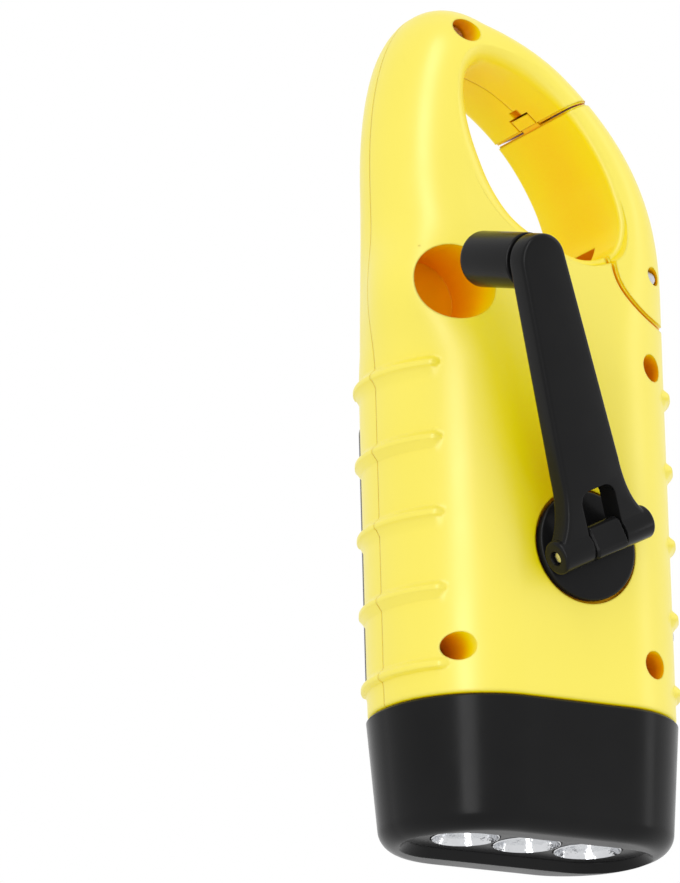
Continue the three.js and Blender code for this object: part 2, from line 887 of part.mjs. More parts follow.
// Panel frame outline, moved outwards by some amount: straight sides and foot, an arched top
function panelOutline(grow) {
  const shape = new THREE.Shape();
  const half = panelHalfWidth + grow;
  const foot = panelBottom - grow;
  const radius = panelCorner + grow / 2;
  const arch = (panelHalfWidth ** 2 + panelSagitta ** 2) / (2 * panelSagitta) + grow;
  const centreZ = panelBottom + panelCornerHeight + panelSagitta + grow - arch;
  const cornerX = half - radius;
  const cornerZ = centreZ + Math.sqrt((arch - radius) ** 2 - cornerX * cornerX);
  const start = Math.atan2(cornerZ - centreZ, cornerX);
  shape.absarc(panelX + cornerX, foot + radius, radius, -Math.PI / 2, 0, false);
  shape.absarc(panelX + cornerX, cornerZ, radius, 0, start, false);
  shape.absarc(panelX, centreZ, arch, start, Math.PI - start, false);
  shape.absarc(panelX - cornerX, cornerZ, radius, Math.PI - start, Math.PI, false);
  shape.absarc(panelX - cornerX, foot + radius, radius, Math.PI, (Math.PI * 3) / 2, false);
  return shape;
}

const windowX = panelX + windowOffset;

function windowShape(half, foot, height, radius) {
  const shape = new THREE.Shape();
  const right = windowX + half - radius;
  const left = windowX - half + radius;
  const low = foot + radius;
  const high = foot + height - radius;
  shape.absarc(right, low, radius, -Math.PI / 2, 0, false);
  shape.absarc(right, high, radius, 0, Math.PI / 2, false);
  shape.absarc(left, high, radius, Math.PI / 2, Math.PI, false);
  shape.absarc(left, low, radius, Math.PI, (Math.PI * 3) / 2, false);
  return shape;
}

function shapeRing(shape, y) {
  const points = shape.getPoints(panelSteps);
  const last = points[points.length - 1];
  if (last.distanceTo(points[0]) < weldDistance) points.pop();
  return points.map((point) => new THREE.Vector3(point.x, y, point.y));
}

function trayShape(grow) {
  const foot = panelBottom + trayBottom - grow;
  return windowShape(trayHalfWidth + grow, foot, trayHeight + 2 * grow, trayCorner + grow);
}

// Frame: an arched rim, a square tray, the window and a pocket for the cell
const seatY = bodyHalfDepth - panelSeat;
const panelFace = bodyHalfDepth + panelProud;
const windowFoot = panelBottom + windowBottom;
const cellTop = seatY + runningGap + cellThickness;

function makePanelFrame() {
  const body = plateY(panelOutline(0), seatY, panelFace, panelBevel, panelSteps);
  const floor = trayShape(-traySlope);
  const mouth = trayShape(traySlope);
  const deep = panelFace - trayDepth;
  const tray = loft([shapeRing(mouth, panelFace + trayDepth), shapeRing(floor, deep)]);
  const opening = windowShape(windowHalfWidth, windowFoot, windowHeight, windowCorner);
  const pocket = windowShape(
    windowHalfWidth + cellOverlap + runningGap,
    windowFoot - cellOverlap - runningGap,
    windowHeight + 2 * (cellOverlap + runningGap),
    windowCorner,
  );
  return cut(
    body,
    tray,
    plateY(opening, seatY - overrun, panelFace + overrun, 0, panelSteps),
    plateY(pocket, seatY - overrun, cellTop + runningGap, 0, panelSteps),
  );
}

function makeSolarCell() {
  const shape = windowShape(
    windowHalfWidth + cellOverlap,
    windowFoot - cellOverlap,
    windowHeight + 2 * cellOverlap,
    windowCorner - runningGap,
  );
  const lines = [];
  for (let i = 1; i < cellStripCount; i += 1) {
    const z = windowFoot + (windowHeight * i) / cellStripCount;
    const half = windowHalfWidth + cellOverlap + overrun;
    const low = z - cellLineWidth / 2;
    const high = z + cellLineWidth / 2;
    const y = cellTop - cellLineDepth;
    lines.push(block(windowX - half, windowX + half, y, cellTop + overrun, low, high));
  }
  return cut(plateY(shape, seatY + runningGap, cellTop), ...lines);
}

// Head: a tapered cup with a round lower edge, an oval light opening and a collar

function headRing(z, grow) {
  const level = headHeight;
  const share = (headHeight - z) / headHeight;
  const rise = Math.max(0, headBottomRadius - z);
  const round = headBottomRadius - Math.sqrt(headBottomRadius ** 2 - rise * rise);
  const inset = headTaper * share + round;
  return section(level, grow + headProud - inset).map((point) => point.setZ(z));
}

function makeHead() {
  const outer = [];
  const roundSteps = flareSteps + 1;
  for (let i = 0; i < roundSteps; i += 1) {
    outer.push(headBottomRadius * (1 - Math.cos(((Math.PI / 2) * i) / roundSteps)));
  }
  const rings = outer.map((z) => headRing(z, 0));
  rings.push(headRing(headBottomRadius, 0), headRing(headHeight - edgeBreak, 0));
  rings.push(section(headHeight, -edgeBreak));
  const collarGap = -wall - runningGap;
  const collar = loft([
    section(headHeight - headWall, collarGap, insideSteps),
    section(headHeight + spigotHeight, collarGap, insideSteps),
  ]);
  const inside = loft([
    headRing(headFloor, -headWall).map((point) => point.setZ(headFloor)),
    section(headHeight - headWall, collarGap - spigotWall),
    section(headHeight + spigotHeight + overrun, collarGap - spigotWall),
  ]);
  const light = plateZ(stadium(recessHalfWidth, recessRadius), -overrun, headFloor + overrun);
  return cut(join(loft(rings), collar), inside, light);
}

// Light: clear lens, three mirrored cups in one block, the lamps and their board

const reflectorLow = lensSetBack + lensThickness + runningGap;
const reflectorHigh = headFloor + runningGap + reflectorFlangeHeight;
const ledFlangeLow = reflectorHigh + runningGap;
const boardLow = ledFlangeLow + ledFlangeHeight + runningGap;

function ledX(i) {
  return (i - (ledCount - 1) / 2) * ledPitch;
}

function makeLens() {
  const shape = stadium(recessHalfWidth - runningGap, recessRadius - runningGap);
  return plateZ(shape, lensSetBack, lensSetBack + lensThickness);
}

function makeReflector() {
  const body = plateZ(
    stadium(recessHalfWidth - runningGap, recessRadius - runningGap),
    reflectorLow,
    headFloor + runningGap + edgeBreak,
  );
  const flange = plateZ(
    stadium(recessHalfWidth + reflectorFlange, recessRadius + reflectorFlange),
    headFloor + runningGap,
    reflectorHigh,
  );
  const profile = [[0, -overrun]];
  profile.push([cupRadius, -overrun]);
  for (let i = 0; i <= domeSteps; i += 1) {
    const depth = i / domeSteps;
    const radius = Math.sqrt(cupRadius ** 2 + (cupThroat ** 2 - cupRadius ** 2) * depth);
    profile.push([radius, cupDepth * depth]);
  }
  profile.push([cupThroat, reflectorHigh], [0, reflectorHigh]);
  const cups = [];
  for (let i = 0; i < ledCount; i += 1) {
    const cup = toSolid(turned(profile, cupSides).rotateX(Math.PI / 2));
    cups.push(cup.translate([ledX(i), 0, reflectorLow]));
  }
  return cut(join(body, flange), ...cups);
}

function makeLed(i) {
  const tip = ledFlangeLow - ledLength;
  const profile = [[0, tip]];
  for (let k = 1; k <= domeSteps; k += 1) {
    const angle = ((Math.PI / 2) * k) / domeSteps;
    profile.push([ledRadius * Math.sin(angle), tip + ledRadius * (1 - Math.cos(angle))]);
  }
  profile.push([ledRadius, ledFlangeLow], [ledFlangeRadius, ledFlangeLow]);
  profile.push([ledFlangeRadius, ledFlangeLow + ledFlangeHeight], [0, ledFlangeLow + ledFlangeHeight]);
  return toSolid(turned(profile, smallSides).rotateX(Math.PI / 2)).translate([ledX(i), 0, 0]);
}

function makeLedBoard() {
  const shape = stadium(recessHalfWidth + reflectorFlange, recessRadius + reflectorFlange);
  return plateZ(shape, boardLow, boardLow + ledBoardThickness);
}

// Gears: involute teeth, thinned for play

function involute(angle) {
  return Math.tan(angle) - angle;
}

function gearShape(teeth, size) {
  const pitch = (size * teeth) / 2;
  const pressure = radians(pressureAngle);
  const base = pitch * Math.cos(pressure);
  const root = pitch - size * gearRootShare;
  const tip = pitch + size * gearTipShare;
  const half = Math.PI / (2 * teeth) - toothBacklash / (4 * pitch);
  const halfAt = (radius) => {
    const angle = Math.acos(Math.min(1, base / radius));
    return half + involute(pressure) - involute(angle);
  };
  const full = [root, base, (base + pitch) / 2, tip];
  const flank = base > root * gearUndercutShare ? full : [root, pitch, tip];
  const shape = new THREE.Shape();
  for (let i = 0; i < teeth; i += 1) {
    const centre = (2 * Math.PI * i) / teeth;
    const rising = flank.map((radius) => [radius, centre - halfAt(radius)]);
    const falling = [...flank].reverse().map((radius) => [radius, centre + halfAt(radius)]);
    rising.concat(falling).forEach(([radius, angle], k) => {
      const x = radius * Math.cos(angle);
      const z = radius * Math.sin(angle);
      if (i === 0 && k === 0) shape.moveTo(x, z);
      else shape.lineTo(x, z);
    });
  }
  shape.closePath();
  return shape;
}

// A gear between two depths, turned so that a tooth or a gap lies in some direction
function gearSolid(teeth, size, rear, thickness, degrees) {
  const gear = plateY(gearShape(teeth, size), -rear, -rear + thickness);
  return gear.rotate([0, -degrees, 0]);
}

function makeDriveGear() {
  const gear = gearSolid(driveTeeth, coarseModule, driveGearRear, driveGearThickness, idlerDirection);
  const half = hubSquare / 2 + runningGap;
  const hole = block(-half, half, -bodyHalfDepth, 0, -half, half).rotate([0, -stowedTurn, 0]);
  return cut(gear, hole).translate([hubX, 0, hubZ]);
}

const halfPinionPitch = 180 / idlerPinionTeeth;
const halfRotorPitch = 180 / rotorTeeth;

function makeIdlerGear() {
  const pinionTurn = idlerDirection + 180 + halfPinionPitch;
  const pinionThickness = idlerPinionRear - idlerGearRear - idlerCollar / 2;
  const pinion = gearSolid(
    idlerPinionTeeth,
    coarseModule,
    idlerPinionRear,
    pinionThickness,
    pinionTurn,
  );
  const gear = gearSolid(idlerTeeth, fineModule, idlerGearRear, idlerGearThickness, rotorDirection);
  const root = (coarseModule * idlerPinionTeeth) / 2 - coarseModule * collarRootShare;
  const collar = rodY(root, -idlerGearRear - idlerCollar, -idlerGearRear + idlerGearThickness / 2);
  const bore = rodY(axleRadius + runningGap, -bodyHalfDepth, 0, 0, 0, smallSides);
  return cut(join(pinion, gear, collar), bore).translate([idlerX, 0, idlerZ]);
}

function makeIdlerAxle() {
  const end = bodyHalfDepth - wall - runningGap * 2;
  return rodY(axleRadius, -end, -plateRear + plateThickness, idlerX, idlerZ, smallSides);
}

// Pinion and shaft of the generator, whose tail turns inside the winding
function makeRotor() {
  const turn = rotorDirection + 180 + halfRotorPitch;
  const pinion = gearSolid(rotorTeeth, fineModule, rotorPinionRear, rotorPinionLength, turn);
  const shaft = rodY(axleRadius, -rotorPinionRear - edgeBreak, rotorTail, 0, 0, smallSides);
  return join(pinion, shaft).translate([rotorX, 0, rotorZ]);
}

function makeGenerator() {
  const rear = -generatorRear;
  const front = generatorFront;
  const rim = generatorRadius - generatorRim;
  const profile = [
    [0, front],
    [rim, front],
    [rim, front - generatorRim],
    [generatorRadius, front - generatorRim],
    [generatorRadius, rear + generatorRim],
    [rim, rear + generatorRim],
    [rim, rear],
    [0, rear],
  ];
  const body = toSolid(turned(profile.reverse()));
  const well = rodY(axleRadius + runningGap * 2, rear - overrun, rotorTail + runningGap * 2);
  return cut(body, well).translate([rotorX, 0, rotorZ]);
}

function makeGearboxPlate() {
  const low = -plateRear;
  const high = low + plateThickness;
  const plate = plateY(beltShape(platePosts, plateMargin), low, high);
  const bore = axleRadius + runningGap;
  return cut(
    plate,
    rodY(bore, low - overrun, high + overrun, idlerX, idlerZ, smallSides),
    rodY(bore, low - overrun, high + overrun, rotorX, rotorZ, smallSides),
  );
}

// Crank, built along +Z with its hub at the origin and its outer side towards -Y

const discLow = bodyHalfDepth - hubRecessDepth + runningGap;
const discHigh = bodyHalfDepth - hubRecessDepth + hubThickness;

// Side view of the hub's knuckle: a block with two round outer corners
function knuckleShape() {
  const outer = -pinRear - barrelRadius;
  const inner = -discHigh + edgeBreak;
  const centre = outer + knuckleCorner;
  const half = barrelRadius - knuckleCorner;
  const shape = new THREE.Shape();
  shape.moveTo(inner, -barrelRadius);
  shape.lineTo(inner, barrelRadius);
  shape.absarc(centre, half, knuckleCorner, Math.PI / 2, Math.PI, false);
  shape.absarc(centre, -half, knuckleCorner, Math.PI, (Math.PI * 3) / 2, false);
  return shape;
}

function makeHub() {
  const disc = rodY(hubRadius, -discHigh, -discLow, 0, 0, roundSides * 2);
  const shaft = rodY(hubShaftRadius, -discLow - edgeBreak, -hubShaftEnd);
  const half = hubSquare / 2;
  const square = block(-half, half, -hubShaftEnd - edgeBreak, -hubSquareEnd, -half, half);
  const knuckleHalf = knuckleWidth / 2;
  const knuckle = plateY(knuckleShape(), -knuckleHalf, knuckleHalf).rotate([0, 0, 90]);
  const pinBore = rodX(pinRadius + runningGap, -hingeWidth, hingeWidth, -pinRear, 0, smallSides);
  const screwBore = rodY(
    hubScrewShankRadius + runningGap,
    -hubSquareEnd - hubScrewLength - runningGap,
    -hubSquareEnd + overrun,
    0,
    0,
    smallSides,
  );
  return cut(join(disc, shaft, square, knuckle), pinBore, screwBore);
}

function makeHubScrew() {
  const seat = -hubScrewSeat;
  const head = rodY(hubScrewHeadRadius, seat, seat + hubScrewHeadHeight);
  const end = -hubSquareEnd - hubScrewLength;
  return join(head, rodY(hubScrewShankRadius, end, seat + edgeBreak, 0, 0, smallSides));
}

function makeCrankPin() {
  const half = hingeWidth / 2 - edgeBreak;
  return rodX(pinRadius, -half, half, 0, 0, smallSides);
}

function armShape() {
  const shape = new THREE.Shape();
  const half = hingeWidth / 2;
  const lean = Math.asin((armRootHalfWidth - armTipRadius) / (armLength - armRootReach));
  shape.moveTo(-half, 0);
  shape.lineTo(half, 0);
  shape.lineTo(half, barrelRadius / 2);
  shape.quadraticCurveTo(armRootHalfWidth, armFlareReach, armRootHalfWidth, armRootReach);
  shape.absarc(0, armLength, armTipRadius, lean, Math.PI - lean, false);
  shape.lineTo(-armRootHalfWidth, armRootReach);
  shape.quadraticCurveTo(-armRootHalfWidth, armFlareReach, -half, barrelRadius / 2);
  return shape;
}

function notchShape() {
  const shape = new THREE.Shape();
  const half = knuckleWidth / 2 + runningGap;
  const corner = armNotchCorner;
  shape.moveTo(-half, -hingeWidth);
  shape.lineTo(half, -hingeWidth);
  shape.lineTo(half, armNotchReach - corner);
  shape.absarc(half - corner, armNotchReach - corner, corner, 0, Math.PI / 2, false);
  shape.absarc(-half + corner, armNotchReach - corner, corner, Math.PI / 2, Math.PI, false);
  return shape;
}

function makeArm() {
  const half = armThickness / 2;
  const plate = plateY(armShape(), -half, half, armBevel);
  const barrel = rodX(barrelRadius, -hingeWidth / 2, hingeWidth / 2);
  const notch = plateY(notchShape(), -armThickness, armThickness);
  const pinBore = rodX(pinRadius + runningGap, -hingeWidth, hingeWidth, 0, 0, smallSides);
  const studBore = rodY(
    knobBoreRadius,
    half - knobScrewEntry,
    half + overrun,
    0,
    armLength,
    smallSides,
  );
  return cut(join(plate, barrel), notch, pinBore, studBore);
}

const knobLow = armThickness / 2 + runningGap;
const knobHigh = knobLow + knobLength;

function makeKnob() {
  const pocket = knobScrewHeadRadius + runningGap;
  const profile = [
    [knobBoreRadius, knobLow],
    [knobRadius - edgeBreak, knobLow],
    [knobRadius, knobLow + edgeBreak],
  ];
  for (let i = 0; i <= flareSteps; i += 1) {
    const angle = ((Math.PI / 2) * i) / flareSteps;
    const inset = knobEdge * (1 - Math.cos(angle));
    profile.push([knobRadius - inset, knobHigh - knobEdge + knobEdge * Math.sin(angle)]);
  }
  profile.push([pocket, knobHigh], [pocket, knobHigh - knobPocketDepth]);
  profile.push([knobBoreRadius, knobHigh - knobPocketDepth], [knobBoreRadius, knobLow]);
  return toSolid(turned(profile)).translate([0, 0, armLength]);
}

function makeKnobScrew() {
  const seat = knobHigh - knobPocketDepth + runningGap;
  const end = armThickness / 2 - knobScrewEntry + runningGap;
  const head = rodY(knobScrewHeadRadius, seat, seat + knobScrewHeadHeight, 0, armLength);
  return join(head, rodY(knobStudRadius, end, seat + edgeBreak, 0, armLength, smallSides));
}

// Gate, its pin and its spring

function makeGate() {
  const body = join(common(closedForm, gateRegion(0, 0)), common(latchSolid(0, 0), gateReach()));
  const bore = atPin(-bodyHalfDepth, bodyHalfDepth, gatePinRadius + runningGap, smallSides);
  return cut(body, tongueSlot, bore);
}

// What the latch tongue may fill: the ring's own form within the tongue's arc
function gateReach() {
  const far = bodyHalfDepth;
  return common(atPin(-far, far, gateTipRadius + latchReach, roundSides * 2), closedForm);
}

// Half the casing's thickness at a place on its face
function faceDepth(x, z) {
  const depth = halfDepth(z);
  const radius = Math.min(sideRadius, depth);
  const past = Math.max(0, x - (gateEdge(z) - radius));
  return depth - radius + Math.sqrt(radius * radius - past * past);
}

function makeGatePin() {
  const half = faceDepth(gatePinX, gatePinZ) - gatePinInset;
  return atPin(-half, half, gatePinRadius, smallSides);
}

class CoilCurve extends THREE.Curve {
  constructor(radius, turns, low, high) {
    super();
    Object.assign(this, { radius, turns, low, high });
  }

  getPoint(share, target = new THREE.Vector3()) {
    const angle = share * this.turns * 2 * Math.PI;
    const y = this.low + (this.high - this.low) * share;
    return target.set(this.radius * Math.cos(angle), y, this.radius * Math.sin(angle));
  }
}

function makeGateSpring() {
  const low = tongueFrontDepth + runningGap + springWire;
  const high = gateSlotHalf - runningGap - springWire;
  const wire = new THREE.Shape().absarc(0, 0, springWire, 0, Math.PI * 2, false);
  const coil = new THREE.ExtrudeGeometry(wire, {
    steps: springTurns * springSteps,
    curveSegments: wireSides / 2,
    extrudePath: new CoilCurve(springCoilRadius, springTurns, low, high),
  });
  const legX = springCoilRadius;
  const down = rodZ(springWire, -springLeg, 0, legX, low, wireSides);
  const up = rodZ(springWire, 0, gateSlotRise - runningGap, legX, high, wireSides);
  return join(toSolid(coil), down, up).translate([gatePinX, 0, gatePinZ]);
}

// Screws, battery, board and switch

function makeScrew({ x, z }) {
  const seat = -screwFloor - runningGap;
  const head = rodY(screwHeadRadius, seat - screwHeadHeight, seat, x, z);
  const end = screwLength - screwFloor;
  const shank = rodY(screwShankRadius, seat - edgeBreak, end, x, z, smallSides);
  const slotHalf = screwShankRadius * crossWidthShare;
  const slotLow = seat - screwHeadHeight - overrun;
  const slotHigh = seat - screwHeadHeight / 2;
  const arm = screwHeadRadius * crossReachShare;
  const across = block(x - arm, x + arm, slotLow, slotHigh, z - slotHalf, z + slotHalf);
  const upright = block(x - slotHalf, x + slotHalf, slotLow, slotHigh, z - arm, z + arm);
  return cut(join(head, shank), across, upright);
}

function makeBattery() {
  const half = batteryLength / 2;
  return rodX(batteryRadius, batteryX - half, batteryX + half, batteryFront, batteryZ);
}

function makeCircuitBoard() {
  const high = boardFront;
  const low = boardRear;
  const top = boardBottom + boardHeight;
  const board = block(-boardHalfWidth, boardHalfWidth, low, high, boardBottom, top);
  const chipZ = boardBottom + boardHeight * chipHeightShare;
  const chip = block(
    -chipSize / 2,
    chipSize / 2,
    low - chipHeight,
    low + edgeBreak,
    chipZ - chipSize / 2,
    chipZ + chipSize / 2,
  );
  const capX = boardHalfWidth - boardPostInset - capRadius;
  const capacitor = rodY(capRadius, low - capHeight, low + edgeBreak, -capX, chipZ, smallSides);
  return join(board, chip, capacitor);
}

function makePowerButton() {
  const flangeRadius = buttonRadius + runningGap + buttonFlange;
  const flangeHigh = buttonBack + buttonFlangeThickness;
  const dome = bodyHalfWidth + buttonProud;
  const domeRise = buttonProud * buttonDomeShare;
  const profile = [
    [0, buttonBack],
    [flangeRadius, buttonBack],
    [flangeRadius, flangeHigh],
    [buttonRadius, flangeHigh],
  ];
  for (let i = 0; i <= domeSteps; i += 1) {
    const angle = ((Math.PI / 2) * i) / domeSteps;
    const height = dome - domeRise + domeRise * Math.sin(angle);
    profile.push([i === domeSteps ? 0 : buttonRadius * Math.cos(angle), height]);
  }
  const body = toSolid(turned(profile).rotateZ(-Math.PI / 2));
  return body.translate([0, 0, buttonZ]);
}

function makeSwitch() {
  const back = switchBack + runningGap;
  const low = buttonZ - switchHalf;
  const high = buttonZ + switchHalf;
  const body = block(back, switchFront, -switchHalf, switchHalf, low, high);
  const plunger = rodX(plungerRadius, switchFront - edgeBreak, plungerTip, 0, buttonZ, smallSides);
  return join(body, plunger);
}

// Looks of the materials

function finish(color, roughness, metalness = 0) {
  return new THREE.MeshStandardMaterial({ color, roughness, metalness });
}

const looks = {
  casing: () => finish(0xf6e636, 0.32),
  black: () => finish(0x1d1d1e, 0.42),
  cell: () => finish(0x9c6a55, 0.3),
  steel: () => finish(0xb8babd, 0.25, 1),
  mirror: () => finish(0xdfe1e4, 0.08, 1),
  clear: () => finish(0xeef4f8, 0.05),
  brass: () => finish(0xc9a24a, 0.35, 1),
  gear: () => finish(0xe8e4da, 0.5),
  board: () => finish(0x1f5a34, 0.55),
  wrap: () => finish(0x2f6f3c, 0.4),
  coil: () => finish(0x8f4a24, 0.5),
};

function piece(name, solid, look) {
  const mesh = new THREE.Mesh(toGeometry(solid), looks[look]());
  mesh.name = name;
  return mesh;
}

// Assembly

const model = new THREE.Group();
model.add(
  piece('front_shell', makeFrontShell(), 'casing'),
  piece('rear_shell', makeRearShell(), 'casing'),
  piece('gate', makeGate(), 'casing'),
  piece('gate_pin', makeGatePin(), 'steel'),
  piece('gate_spring', makeGateSpring(), 'steel'),
  piece('panel_frame', makePanelFrame(), 'black'),
  piece('solar_cell', makeSolarCell(), 'cell'),
  piece('head_shroud', makeHead(), 'black'),
  piece('lens', makeLens(), 'clear'),
  piece('reflector', makeReflector(), 'mirror'),
  piece('led_board', makeLedBoard(), 'board'),
  piece('drive_gear', makeDriveGear(), 'gear'),
  piece('idler_gear', makeIdlerGear(), 'gear'),
  piece('idler_axle', makeIdlerAxle(), 'steel'),
  piece('generator_rotor', makeRotor(), 'brass'),
  piece('generator', makeGenerator(), 'coil'),
  piece('gearbox_plate', makeGearboxPlate(), 'steel'),
  piece('battery', makeBattery(), 'wrap'),
  piece('circuit_board', makeCircuitBoard(), 'board'),
  piece('power_button', makePowerButton(), 'black'),
  piece('power_switch', makeSwitch(), 'black'),
);
for (let i = 0; i < ledCount; i += 1) {
  model.add(piece(`led_${i + 1}`, makeLed(i), 'clear'));
}
for (const place of screwPlaces) {
  model.add(piece(place.name, makeScrew(place), 'steel'));
}

const crank = new THREE.Group();
crank.position.set(hubX, 0, hubZ);
crank.rotation.y = -stowed;
crank.add(
  piece('crank_hub', makeHub(), 'black'),
  piece('hub_screw', makeHubScrew(), 'steel'),
);
const arm = new THREE.Group();
arm.position.y = -pinRear;
arm.rotation.x = radians(restTilt);
arm.add(
  piece('crank_arm', makeArm(), 'black'),
  piece('crank_pin', makeCrankPin(), 'steel'),
  piece('crank_knob', makeKnob(), 'black'),
  piece('knob_screw', makeKnobScrew(), 'steel'),
);
crank.add(arm);
model.add(crank);

// The origin is under the middle of the whole outline
const assembly = new THREE.Group();
const outline = new THREE.Box3().setFromObject(model, true);
const middle = outline.getCenter(new THREE.Vector3());
model.position.set(-middle.x, -middle.y, -outline.min.z);
assembly.add(model);

export default assembly;
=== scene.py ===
import math

import bmesh
import bpy
from mathutils import Matrix, Vector


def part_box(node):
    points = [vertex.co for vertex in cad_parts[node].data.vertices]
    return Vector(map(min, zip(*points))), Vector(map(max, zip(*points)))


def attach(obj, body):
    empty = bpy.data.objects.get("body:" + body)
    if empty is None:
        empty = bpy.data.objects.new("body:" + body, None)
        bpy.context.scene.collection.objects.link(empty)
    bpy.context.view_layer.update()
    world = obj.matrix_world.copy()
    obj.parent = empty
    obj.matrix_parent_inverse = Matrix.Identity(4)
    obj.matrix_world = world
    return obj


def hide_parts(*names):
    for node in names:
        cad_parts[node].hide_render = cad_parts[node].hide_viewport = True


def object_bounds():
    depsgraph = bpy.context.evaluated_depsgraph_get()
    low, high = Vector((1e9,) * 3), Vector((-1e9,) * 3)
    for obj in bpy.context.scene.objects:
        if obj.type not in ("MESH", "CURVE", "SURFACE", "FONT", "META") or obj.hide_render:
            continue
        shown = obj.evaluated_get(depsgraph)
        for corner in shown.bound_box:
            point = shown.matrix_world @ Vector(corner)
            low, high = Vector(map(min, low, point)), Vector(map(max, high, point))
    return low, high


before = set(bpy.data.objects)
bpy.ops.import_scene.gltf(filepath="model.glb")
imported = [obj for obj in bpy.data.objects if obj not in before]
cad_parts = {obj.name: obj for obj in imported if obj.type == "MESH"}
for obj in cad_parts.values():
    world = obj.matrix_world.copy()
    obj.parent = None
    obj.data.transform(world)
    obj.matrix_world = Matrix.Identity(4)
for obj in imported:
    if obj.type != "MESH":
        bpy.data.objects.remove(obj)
cad_low, cad_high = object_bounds()

mm = 0.001

# The casing's own frame: X from its axis, Y from its seam, Z from the bezel
seam_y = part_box("rear_shell")[1].y
axis_x = (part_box("head_shroud")[0].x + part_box("head_shroud")[1].x) / 2

# Whole casing
overall_height = 140 * mm
half_width = 25.9 * mm
half_depth = 17 * mm
side_radius = 16.4 * mm
gate_side_radius = 8 * mm
ring_half_depth = 11.3 * mm
wall = 2 * mm
head_height = 21.2 * mm
thin_start = 75 * mm
thin_end = 110 * mm
gap = 0.3 * mm
overrun = 2 * mm
seam_gap = 0.05 * mm
foot_round = 0.9 * mm

# Fineness of the casing: distances between rings and numbers of steps
rib_step = 0.2 * mm
plain_step = 1.1 * mm
crown_step = 0.5 * mm
crown_start = 1.4
crown_steps = 44
hollow_blend_steps = 8
hollow_crown_steps = 12
hollow_corner_steps = 6
hollow_flare_steps = 2
foot_steps = 5
sharpest_turn = 0.5
fine_sides = 256
foot_sides = 128
small_sides = 48
sharp_angle = math.radians(32)

# Carabiner ring
apex_x = -10 * mm
crown_flat = 0.1 * mm
back_shoulder = 108.5 * mm
gate_shoulder = 92 * mm
back_rise_power = 2.15
back_fall_power = 2.76
gate_rise_power = 2.7
gate_fall_power = 1.05
opening_left = -13 * mm
opening_width = 28 * mm
opening_floor = 97.4 * mm
opening_height = 32.4 * mm
opening_flare = 3.6 * mm
flare_spread = 2 * mm
crisp_share = 0.75
opening_shares = [
    (0.121, 0.994), (0.029, 0.923), (0, 0.79), (0.025, 0.636), (0.082, 0.481), (0.171, 0.315),
    (0.3, 0.176), (0.507, 0.071), (0.75, 0.003), (0.936, 0.059), (0.996, 0.204), (0.943, 0.401),
    (0.843, 0.574), (0.7, 0.735), (0.521, 0.867), (0.321, 0.963),
]

# Gate
pin_x = 20.8 * mm
pin_z = 96.1 * mm
gate_pin_radius = 1.3 * mm
gate_pin_rise = 0.6 * mm
gate_pin_edge = 0.15 * mm
foot_radius = 8.4 * mm
heel_room = 0.2 * mm
tip_radius = 30.6 * mm
slot_half = 3.8 * mm
slot_rise = 6.2 * mm
gate_inward_shares = (0.5, 0.4)
latch_angle = 119
latch_spread = 8
latch_relief = 2.4
latch_reach = 2.6 * mm
latch_half_depth = 2.4 * mm
groove_half = 0.3 * mm
groove_depth = 0.35 * mm
groove_low = 80 * mm
groove_height = 52 * mm
groove_steps = 48
catch_place = (2.7 * mm, 124.3 * mm)
catch_turn = -40.6
catch_half = 1.1 * mm
catch_depth = 1.5 * mm

# Grip ribs
rib_count = 5
rib_lowest = 26.5 * mm
rib_pitch = 12.4 * mm
rib_half_height = 1.3 * mm
rib_proud = 1 * mm
rib_inner_end = 21.8 * mm
rib_round = 1.3 * mm
rib_margin = 1.2
rib_steep_end = -0.45
rib_soft_start = -0.1
rib_end_rise = 1.5

# Deep holes on the crank side
screw_bore = 2.3 * mm
screw_floor = 3.5 * mm
screw_boss = 3.7 * mm
screw_hole = 1.4 * mm
screw_places = [
    (-12.4 * mm, 134.2 * mm),
    (17.7 * mm, 79.2 * mm),
    (-19.8 * mm, 29 * mm),
    (15.4 * mm, 29 * mm),
]

# Crank
hub_x = 2.2 * mm
hub_z = 46.9 * mm
hub_radius = 9 * mm
hub_thickness = 2 * mm
hub_recess = 1.2 * mm
hub_edge = 0.5 * mm
hub_play = 0.5 * mm
shaft_bore = 3.5 * mm
pin_lift = 3.5 * mm
stowed_turn = math.radians(25.9)
rest_tilt = math.radians(18)
barrel_radius = 2.8 * mm
barrel_edge = 0.5 * mm
pin_radius = 0.9 * mm
pin_inset = 0.5 * mm
pin_edge = 0.2 * mm
pin_sides = 32
hinge_width = 19 * mm
knuckle_width = 6.4 * mm
knuckle_corner = 1.5 * mm
knuckle_edge = 0.35 * mm
knuckle_sink = 0.6 * mm
arm_length = 46.4 * mm
arm_thickness = 3.96 * mm
arm_tip_radius = 4.4 * mm
arm_root_half = 6 * mm
arm_root_reach = 12 * mm
arm_flare_reach = 4.5 * mm
arm_notch_reach = 8.8 * mm
arm_notch_corner = 2 * mm
arm_round = 0.8 * mm
knob_radius = 4.5 * mm
knob_length = 12.45 * mm
knob_edge = 1.2 * mm
knob_root_edge = 0.2 * mm
knob_pocket = 2.9 * mm
knob_pocket_depth = 2 * mm
knob_bore = 1.8 * mm
knuckle_steps = 6
shoulder_steps = 12
tip_steps = 32
arm_edge_steps = 6
knob_edge_steps = 8
socket_reach = 47.2 * mm
socket_radius = 6.5 * mm
socket_floor = 1.6 * mm
socket_wall = 1.4 * mm
bulge_rise = 3.1 * mm
bulge_half_height = 13 * mm
bulge_centre = 32
bulge_half_arc = 52

